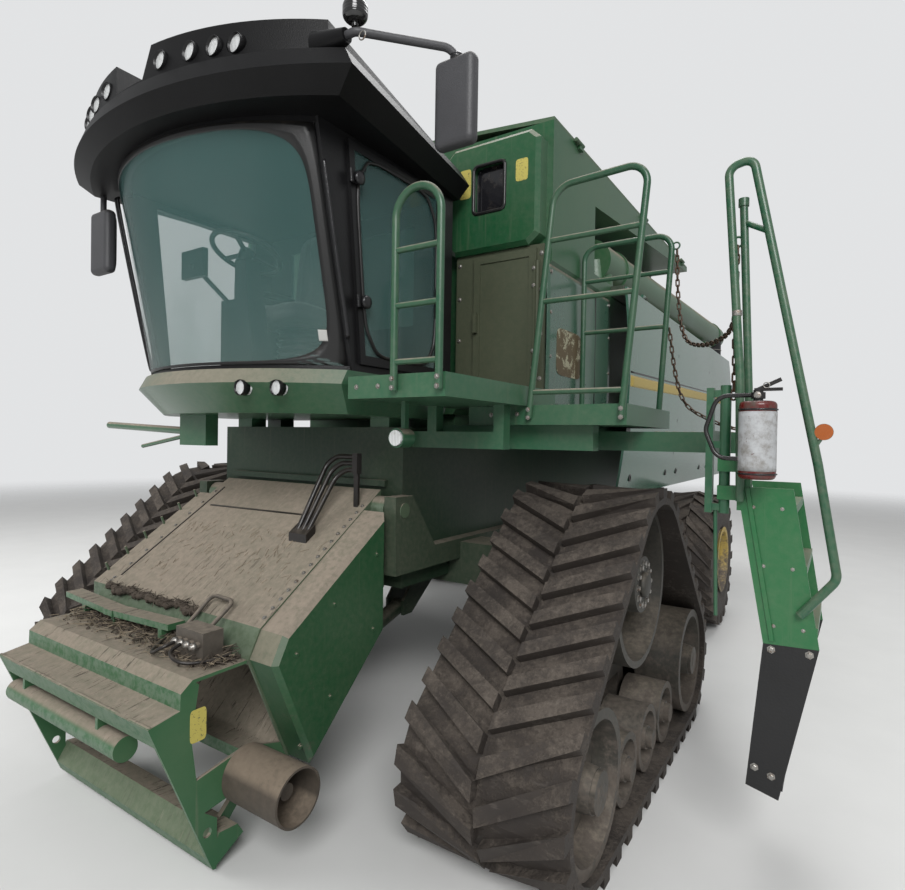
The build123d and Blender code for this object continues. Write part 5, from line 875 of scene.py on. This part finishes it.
door_corners = [(DOOR_FACE, door_edge_y(2.245) + 0.027, DOOR_LOW), (DOOR_FACE, DOOR_REAR, DOOR_LOW),
                (DOOR_FACE, DOOR_REAR, DOOR_HIGH), (DOOR_FACE, door_edge_y(DOOR_HIGH) + 0.027, DOOR_HIGH)]
pipe("door_gasket", "door", gasket_black, smooth_path(door_corners, 4, 0.15, True), 0.009, 8, X, True)
gloss_black = dull_black("gloss_black", 300, 0.02, (0.012, 0.012, 0.013), 0.18)
pipe("front_grab_rail", "machine", gloss_black, smooth_path(
    [(0.822, -1.290, 3.090), (0.852, -1.318, 3.090), (0.856, -1.318, 3.060), (0.856, -1.216, 2.600),
     (0.856, -1.155, 2.345), (0.852, -1.148, 2.320), (0.822, -1.118, 2.320)], 3), 0.0095, 12, (1, 0.2, 0))
for k, z in enumerate((2.500, 3.080)):
    turned(f"door_hinge_cap_{k}", "door", gloss_black, (0.8735, door_edge_y(z) + 0.023, z), X,
           [(-0.004, 0.034), (0.010, 0.033), (0.016, 0.026), (0.018, 0.008)], 24)
for k, x in enumerate((-0.838, -0.862)):
    corners = [(x, post_y(2.24) - 0.012, 2.24), (x, post_y(2.24) - 0.030, 2.25),
               (x, post_y(3.25) - 0.030, 3.25), (x, post_y(3.26) - 0.012, 3.26)]
    pipe(f"right_edge_rail_{k}", "machine", gloss_black, smooth_path(corners, 3), 0.008, 10, (1, 0.2, 0))


def silvered_glass():
    """The mirrors' silvered glass under a haze of dust."""
    f = Finish("mirror_glass", Metallic=1.0, Roughness=0.06)
    haze = f.noise(8, 4).rise(0.45, 0.8)
    return f.end(f.mix(haze, (0.62, 0.64, 0.64), (0.34, 0.33, 0.30)))


mirror_glass = silvered_glass()
sticker("mirror_glass_left", "machine", mirror_glass, (1.334, -1.0705, 3.108), (1.506, -1.0685, 3.442))
sticker("mirror_glass_right", "machine", mirror_glass, (-1.071, -1.3305, 2.838), (-0.899, -1.3285, 3.172))
pipe("mirror_arm_ring", "machine", bolt_steel, ring_of((1.165, -1.420, 3.474), 0.017, 24, X, Z),
     0.0028, 8, Y, True)
turned("mirror_pivot", "machine", gloss_black, (1.420, -1.105, 3.462), Z,
       [(-0.010, 0.030), (0.014, 0.030), (0.020, 0.024), (0.022, 0.018)], 20)


def amber_dome():
    """Brown-amber moulded dome, ribbed inside, over its black rubber foot."""
    f = Finish("amber_dome", Roughness=0.16, Coat_Weight=0.4)
    ribs, foot = f.waves("Z", 26.0), f.axis("Z").rise(3.626, 3.632)
    colour = f.mix(foot, (0.010, 0.010, 0.010), f.mix(ribs, (0.085, 0.022, 0.010), (0.19, 0.055, 0.018)))
    return f.end(colour, normal=f.bump(ribs, 0.0008))


def seat_cloth():
    """Woven seat cloth: warp and weft waves, with a paler fleck."""
    f = Finish("seat_cloth", Roughness=0.92, Sheen_Weight=0.3)
    warp, weft, fleck = f.waves("X", 95.0), f.waves("Z", 95.0), f.noise(60, 4, 0.7).rise(0.55, 0.7)
    weave = f.mix(warp * weft, (0.012, 0.012, 0.014), (0.035, 0.035, 0.040))
    return f.end(f.mix(fleck * 0.5, weave, (0.075, 0.070, 0.060)), normal=f.bump(warp + weft, 0.0007))


wear(amber_dome(), "beacon")
cloth = seat_cloth()
PAD_ROWS, PAD_SIDES = 41, 72


def crowned_pad(name, middle, half, crown, channels, front):
    """A stuffed cushion: a rounded box of latitudes a and turns b, whose sines and cosines take a power under
    one. Its face stands out by the crown, falls in along sewn channels and pulls in at the seam."""
    a = np.linspace(-np.pi / 2 + 0.03, np.pi / 2 - 0.03, PAD_ROWS)[:, None]
    b = np.linspace(0, 2 * np.pi, PAD_SIDES, endpoint=False)[None, :]
    power = lambda wave, p: np.sign(wave) * np.abs(wave) ** p
    x = power(np.cos(a), 0.28) * power(np.cos(b), 0.34)
    y = power(np.cos(a), 0.28) * power(np.sin(b), 0.34)
    z = power(np.sin(a), 0.62) + 0 * b
    dip = sum(np.exp(-((x - at) / 0.045) ** 2) for at in channels)
    z = z + np.clip(z, 0, 1) * (crown * (1 - x ** 2) * (1 - y ** 2) - 0.16 * dip)
    belt = 1 - 0.020 * np.exp(-(z / 0.12) ** 2)
    across, along, out = np.moveaxis(np.stack([x * belt, y * belt, z], axis=-1) * half, -1, 0)[..., None]
    front = unit(np.asarray(front, float))
    points = middle + across * X + along * np.cross(front, X) + out * front
    return skin(name, "machine", cloth, points, tube_faces(PAD_ROWS, PAD_SIDES))


cushion = crowned_pad("seat_cushion", (0, -0.675, 2.550), (0.250, 0.245, 0.062), 0.22, (-0.55, 0.0, 0.55),
                      (0, 0.06, 1))
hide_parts("seat")
crowned_pad("seat_back", (0, -0.455, 2.860), (0.240, 0.300, 0.058), 0.20, (-0.5, 0.0, 0.5), (0, -1, 0.10))

# Bellows under the seat, whose folds repeat every 40 mm, its armrests, and what stands on the console
bellows_z = np.linspace(2.168, 2.490, 33)
bellows_r = 0.150 + 0.012 * np.cos((bellows_z - 2.168) * 2 * np.pi / 0.040)
turned("seat_bellows", "machine", cab_black, (0, -0.650, 0), Z, np.column_stack([bellows_z, bellows_r]), 40)
for k, x in enumerate((-0.277, 0.277)):
    corners = [(x, -0.440, 2.640), (x, -0.440, 2.735), (x, -0.520, 2.745), (x, -0.760, 2.740)]
    pipe(f"seat_armrest_{k}", "machine", cab_black, smooth_path(corners, 3), 0.022, 14, (1, 0, 0.1))
sticker("display_glass", "machine", gloss_black, (-0.628, -1.0295, 2.818), (-0.432, -1.0280, 2.962))
pipe("lever_knob", "machine", gloss_black,
     [(-0.510, -1.020, 2.838), (-0.525, -1.050, 2.874), (-0.532, -1.064, 2.890)], [0.016, 0.024, 0.012], 14)


# Walkway, rails, ladder and extinguisher
# Green pressed decks in three steps, bent-tube rails, and a ladder that swings on an upright pin.

deck_paint = wear(soiled_paint("deck_paint", (0.012, 0.080, 0.037), dust=0.08, lying=0.72, gloss=0.32),
                  "walkway")
ladder_paint = wear(soiled_paint("ladder_paint", (0.010, 0.110, 0.034), dust=0.08, lying=0.6, gloss=0.30),
                    "ladder")
wear(soiled_paint("rail_paint", (0.012, 0.068, 0.033), dust=0.07, lying=0.55, gloss=0.30), "walkway_rails")
wear(dull_black("step_rubber", 90, 0.30), "ladder_tail")

LOOP_LAMP, LAMP_INNER, LAMP_OUTER = (2.767, 0.0, 1.891), 0.0300, 0.0325
BOTTLE, BOTTLE_RADIUS = np.array([2.545, -0.600, 0.0]), 0.0675


def loop_finish():
    """The hand loop's green tube, with an orange marker lamp on its outer leg."""
    f = Finish("loop_finish", Specular_IOR_Level=0.45)
    x, z = f.axis("X") - from_axle(LOOP_LAMP)[0, 0], f.axis("Z") - LOOP_LAMP[2]
    lamp = 1.0 - (x * x + z * z).rise(LAMP_INNER ** 2, LAMP_OUTER ** 2)
    broad, fine = f.noise(1.2, 4), f.noise(40, 5, 0.6)
    film = ((fine - 0.5) * 0.6 + broad * 0.3 + f.axis("Z", f.facing) * 0.2).highest(0.0)
    paint = f.mix(film, f.shade((0.014, 0.078, 0.038), broad * 0.4 + 0.8), DUST)
    return f.end(f.mix(lamp, paint, (0.30, 0.075, 0.012)), film * 0.4 + 0.28, f.bump(fine, 0.0003))


def bottle_finish():
    """Dark red enamel on the bottle; its valve, lever and hose are black."""
    f = Finish("bottle_finish", Specular_IOR_Level=0.5)
    x, z = f.axis("X"), f.axis("Z")
    edge = float(from_axle(BOTTLE - BOTTLE_RADIUS * X)[0, 0])
    black = z.rise(2.006, 2.010).highest(1.0 - x.rise(edge - 0.003, edge))
    grime = (f.noise(24, 5, 0.7) + f.noise(5, 3) * 0.4).rise(0.62, 0.95)
    red = f.mix(grime, (0.095, 0.009, 0.008), (0.060, 0.045, 0.035))
    return f.end(f.mix(black, red, (0.012, 0.011, 0.011)), grime * 0.35 + 0.26,
                 f.bump(f.noise(260, 2), 0.0003))


wear(loop_finish(), "ladder_rail")
wear(bottle_finish(), "extinguisher")

# Raised dimples of the pressed decks in staggered rows, and the bolts through the rails' feet
DIMPLE_PITCH = 0.046
for k, (x0, x1, y0, y1, top) in enumerate((
    (0.878, 1.430, -1.170, -0.100, 2.125), (1.430, 1.960, -0.394, 0.450, 2.025),
    (1.960, 2.430, -0.020, 0.430, 1.895),
)):
    x, y = np.meshgrid(np.arange(x0 + 0.035, x1 - 0.020, DIMPLE_PITCH),
                       np.arange(y0 + 0.035, y1 - 0.020, DIMPLE_PITCH))
    y = y + DIMPLE_PITCH / 2 * (np.arange(x.shape[1]) % 2)
    turned(f"deck_dimples_{k}", "machine", deck_paint, places_at(x, y, top), Z,
           [(-0.001, 0.010), (0.002, 0.008), (0.003, 0.004)], 8)
feet = [(x, -1.204, z) for x in (1.166, 1.408) for z in (2.062, 2.102)]
feet += [(x, -0.4280, z) for x in (1.4505, 1.9395) for z in (1.958, 2.000)]
studs("rail_foot_bolts", "machine", feet, -Y, 0.0085, 0.008)
studs("deck_front_bolts", "machine",
      [(1.212, -0.394, 1.975), (1.371, -0.394, 1.979), (1.060, -1.170, 2.075), (0.930, -1.170, 2.075)],
      -Y, 0.009, 0.007)
studs("rail_foot_bolts_rear", "machine", [(x, 0.4843, z) for x in (1.402, 1.889) for z in (1.965, 2.005)],
      Y, 0.0085, 0.008)

# The ladder's plates are bolted to its treads; saw-toothed strips grip the boot
PLATE_FACE, TREAD_HALF, LADDER_LEAN = -0.4902, 0.0175, 0.172
tread_z = np.array([1.5775, 1.3375, 1.0975])
tread_x = 2.462 + (1.6600 - tread_z + TREAD_HALF) * LADDER_LEAN
studs("ladder_plate_bolts", "ladder_body",
      [(x + dx, PLATE_FACE, z) for x, z in zip(tread_x, tread_z) for dx in (0.045, 0.150)], -Y, 0.0055, 0.005)


def grip_strip(name, x0, width, z, steps=65):
    """A row of teeth along a tread: over its length the height rises and falls in steps."""
    y = np.linspace(-0.470, -0.010, steps)
    rise = 0.003 + 0.006 * (np.arange(steps) % 2)
    low = places_at(x0, y, z - 0.001)
    high, right = low + rise[:, None] * Z, width * X
    points = np.stack([low, high, high + right, low + right], axis=1)
    return skin(name, "ladder_body", bolt_steel, points, tube_faces(steps, 4), False)


for k, (x, z) in enumerate(zip(tread_x, tread_z + TREAD_HALF)):
    for m, dx in enumerate((0.030, 0.090, 0.150)):
        grip_strip(f"tread_grip_{k}_{m}", x + dx, 0.012, z)
for k, (x, z) in enumerate(((2.558, 0.792), (2.522, 0.462))):
    for m, dx in enumerate((0.020, 0.060, 0.100)):
        grip_strip(f"tail_grip_{k}_{m}", x + dx, 0.010, z)
strip_along("ladder_plate_fold", "ladder_body", ladder_paint,
            (2.500, -0.4905, 1.655), (2.602, -0.4905, 1.035), (1, 0, 0.16), (0, -0.006, 0), 0.010)
studs("strap_bolts", "ladder_body",
      places_at([2.600, 2.735, 2.548, 2.610], PLATE_FACE, [1.000, 1.005, 0.500, 0.480]), -Y, 0.011, 0.009)


# The bottle's paper label with its stains, its straps, pressure dial and safety pin
def stained_label():
    """A blank paper label, grey and stained, torn in places down to the enamel."""
    f = Finish("stained_label", Roughness=0.7)
    stain = (f.noise(22, 5, 0.7) + f.noise(6, 3) * 0.4).rise(0.55, 0.95)
    torn = (f.noise(30, 5, 0.75) + f.noise(7, 2) * 0.3).rise(0.80, 0.84)
    colour = f.mix(stain, (0.36, 0.37, 0.38), (0.17, 0.16, 0.145))
    return f.end(f.mix(torn, colour, (0.075, 0.020, 0.016)), normal=f.bump(stain, 0.0004))


label_a = np.radians(np.linspace(-200, 25, 60))[:, None]
label_line = BOTTLE + (BOTTLE_RADIUS + 0.0007) * (np.cos(label_a) * X + np.sin(label_a) * Y)
skin("bottle_label", "ladder_body", stained_label(),
     label_line + np.linspace(1.733, 1.968, 12)[:, None, None] * Z, grid_faces(12, 60), True, 0.0007)
for k, z in enumerate((1.722, 1.976)):
    strap = ring_of(BOTTLE + z * Z, BOTTLE_RADIUS + 0.002, 48, X, Y)
    pipe(f"bottle_strap_{k}", "ladder_body", gloss_black, strap, 0.0035, 8, Z, True)
turned("bottle_dial", "ladder_body", bolt_steel, (2.545, -0.618, 2.0325), -Y,
       [(-0.006, 0.014), (0.012, 0.014), (0.014, 0.012), (0.0145, 0.004)], 24)
pipe("bottle_pin", "ladder_body", bolt_steel, ring_of((2.575, -0.6125, 2.072), 0.011, 24, X, Z),
     0.0018, 6, Y, True)


# Chains
# Two lengths of welded steel chain close the gap at the ladder's head, and one hangs from the ladder's post.
# They are rusty, hang under their own weight and are hooked into rings.

LINK_PITCH, LINK_WIRE, LINK_WIDTH, LINK_TURNS, WIRE_SIDES = 0.036, 0.0044, 0.0092, 12, 6


def chain(name, body, material, path):
    """Links at equal steps along a path, every other one turned a quarter round.

    A link's middle line is two half circles and two straights, and its section a small circle round it."""
    run = np.concatenate([[0], np.cumsum(np.linalg.norm(np.diff(path, axis=0), axis=1))])
    count = int(run[-1] / LINK_PITCH)
    stations = (np.arange(count) + 0.5) * run[-1] / count
    middles = np.stack([np.interp(stations, run, path[:, k]) for k in range(3)], axis=1)
    ahead = unit(np.gradient(middles, axis=0))
    u, v = square_to(ahead, (0.62, 0.55, 0.10))
    side = np.where((np.arange(count) % 2 == 0)[:, None], unit(u + 0.25 * v), unit(v - 0.25 * u))
    middles, ahead, side, deep = (w[:, None, None, :] for w in (middles, ahead, side, np.cross(ahead, side)))
    a = ((np.arange(LINK_TURNS) + 0.5) * 2 * np.pi / LINK_TURNS)[:, None, None]
    b = (np.arange(WIRE_SIDES) * 2 * np.pi / WIRE_SIDES)[:, None]
    straight = LINK_PITCH / 2 + LINK_WIRE - LINK_WIDTH
    out = LINK_WIDTH + LINK_WIRE * np.cos(b)
    points = (middles + (straight * np.sign(np.cos(a)) + out * np.cos(a)) * ahead
              + out * np.sin(a) * side + LINK_WIRE * np.sin(b) * deep)
    faces = repeated(grid_faces(LINK_TURNS, WIRE_SIDES, True, True), count, LINK_TURNS * WIRE_SIDES)
    return skin(name, body, material, points, faces)


chain_rust = bare_steel("chain_rust", (0.085, 0.060, 0.045), 0.55)
gate_chain = chain("gate_chain", None, chain_rust, smooth_path(
    [(1.980, 0.467, 2.992), (1.990, 0.463, 2.700), (2.040, 0.400, 2.430), (2.205, 0.100, 2.345),
     (2.370, -0.230, 2.335), (2.430, -0.440, 2.370), (2.437, -0.486, 2.385)]))
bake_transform(gate_chain)
chain("lower_chain", "machine", chain_rust, smooth_path(
    [(1.938, 0.492, 2.530), (1.975, 0.500, 2.240), (2.030, 0.500, 2.060), (2.170, 0.490, 1.975),
     (2.300, 0.470, 1.925), (2.405, 0.440, 1.905)]))
turned("chain_eye", "machine", bolt_steel, (2.410, 0.4295, 1.880), Y,
       [(-0.003, 0.014), (0.006, 0.014), (0.010, 0.008), (0.020, 0.006), (0.021, 0.003)], 16)
chain("post_chain", "ladder_body", chain_rust, smooth_path(
    [(2.438, -0.455, 2.680), (2.434, -0.462, 2.400), (2.440, -0.466, 2.160), (2.436, -0.464, 2.030)]))
turned("loop_ring", "ladder_body", bolt_steel, (2.449, -0.507, 2.385), (-0.06, 0, 1),
       [(-0.012, 0.0175), (-0.010, 0.0195), (0.010, 0.0195), (0.012, 0.0175)], 24)


# Floor, light and camera
# A pale floor, three large soft lamps and the photograph's viewing angle.

FLOOR_HALF, FLOOR_DROP, FLOOR_FADE = 60.0, 0.002, (9.0, 24.0)


def pale_floor():
    """A pale sheet that takes the machine's shadow and melts into the backdrop further out."""
    mesh = bpy.data.meshes.new("floor")
    corners = [(-1, -1), (1, -1), (1, 1), (-1, 1)]
    mesh.from_pydata([(x * FLOOR_HALF, y * FLOOR_HALF, cad_box[0][2] - FLOOR_DROP) for x, y in corners],
                     [], [(0, 1, 2, 3)])
    obj = bpy.data.objects.new("floor", mesh)
    bpy.context.scene.collection.objects.link(obj)
    f = Finish("pale_floor", Roughness=0.85)
    dapple, x, y = f.noise(2, 3), f.axis("X"), f.axis("Y")
    far = (x * x + y * y).rise(FLOOR_FADE[0] ** 2, FLOOR_FADE[1] ** 2)
    mesh.materials.append(f.end(f.mix(dapple, (0.60, 0.60, 0.59), (0.66, 0.66, 0.65)), alpha=1 - far))


def soft_lamp(name, place, target, size, watts):
    """A round lamp that looks from its place at a target."""
    data = bpy.data.lights.new(name, "AREA")
    data.shape, data.size, data.energy = "DISK", size, watts
    obj = bpy.data.objects.new(name, data)
    bpy.context.scene.collection.objects.link(obj)
    obj.location = place
    obj.rotation_euler = (Vector(target) - Vector(place)).to_track_quat("-Z", "Y").to_euler()
    return obj


pale_floor()
soft_lamp("key_lamp", (7.0, -12.0, 9.0), (0, -1, 1.6), 7.0, 1700)
fill_lamp = soft_lamp("fill_lamp", (-9.0, -9.0, 6.0), (0, -1, 1.6), 8.0, 800)
fill_lamp.visible_glossy = False
soft_lamp("top_lamp", (0.0, 2.0, 12.0), (0, 0, 0), 9.0, 900)

# The backdrop is palest where it is looked at or seen through glass, less so where it is mirrored, and gives
# the machine less light than that
LIGHT_GIVEN, PALENESS_SEEN, MIRRORED_SHARE = 0.45, 0.95, 0.35
world = bpy.data.worlds.new("studio")
bpy.context.scene.world = world
world.use_nodes = True
sky = Nodes(world.node_tree)
looked, mirrored, through = (sky.add("LightPath", {}, {}, f"Is {kind} Ray")
                             for kind in ("Camera", "Glossy", "Transmission"))
seen = looked.highest(mirrored * MIRRORED_SHARE).highest(through)
strength = sky.add("MapRange", {}, {"Value": seen, "To Min": LIGHT_GIVEN, "To Max": PALENESS_SEEN})
backdrop = world.node_tree.nodes["Background"]
backdrop.inputs["Color"].default_value = (0.80, 0.81, 0.82, 1)
world.node_tree.links.new(strength.socket, backdrop.inputs["Strength"])

# The camera stands where the photograph was taken, 2.8 m to the left and 3.2 m ahead of the drive axle
CAMERA_FROM_AXLE = (2.8266, -3.2381, 1.8443)
YAW, PITCH, ROLL = 0.5803, -0.0115, 0.0158
FOCUS_PX, FRAME_W, SENSOR_W = 593.99, 905, 36.0

camera = bpy.data.objects.new("camera", bpy.data.cameras.new("camera"))
bpy.context.scene.collection.objects.link(camera)
bpy.context.scene.camera = camera
camera.matrix_world = (Matrix.Translation(from_axle(CAMERA_FROM_AXLE)[0])
                       @ Euler((math.pi / 2 + PITCH, 0, YAW)).to_matrix().to_4x4()
                       @ Matrix.Rotation(ROLL, 4, "Z"))
camera.data.sensor_width = SENSOR_W
camera.data.lens = FOCUS_PX / FRAME_W * SENSOR_W
camera.data.clip_start, camera.data.clip_end = 0.05, 200.0
bpy.context.scene.view_settings.view_transform = "Standard"
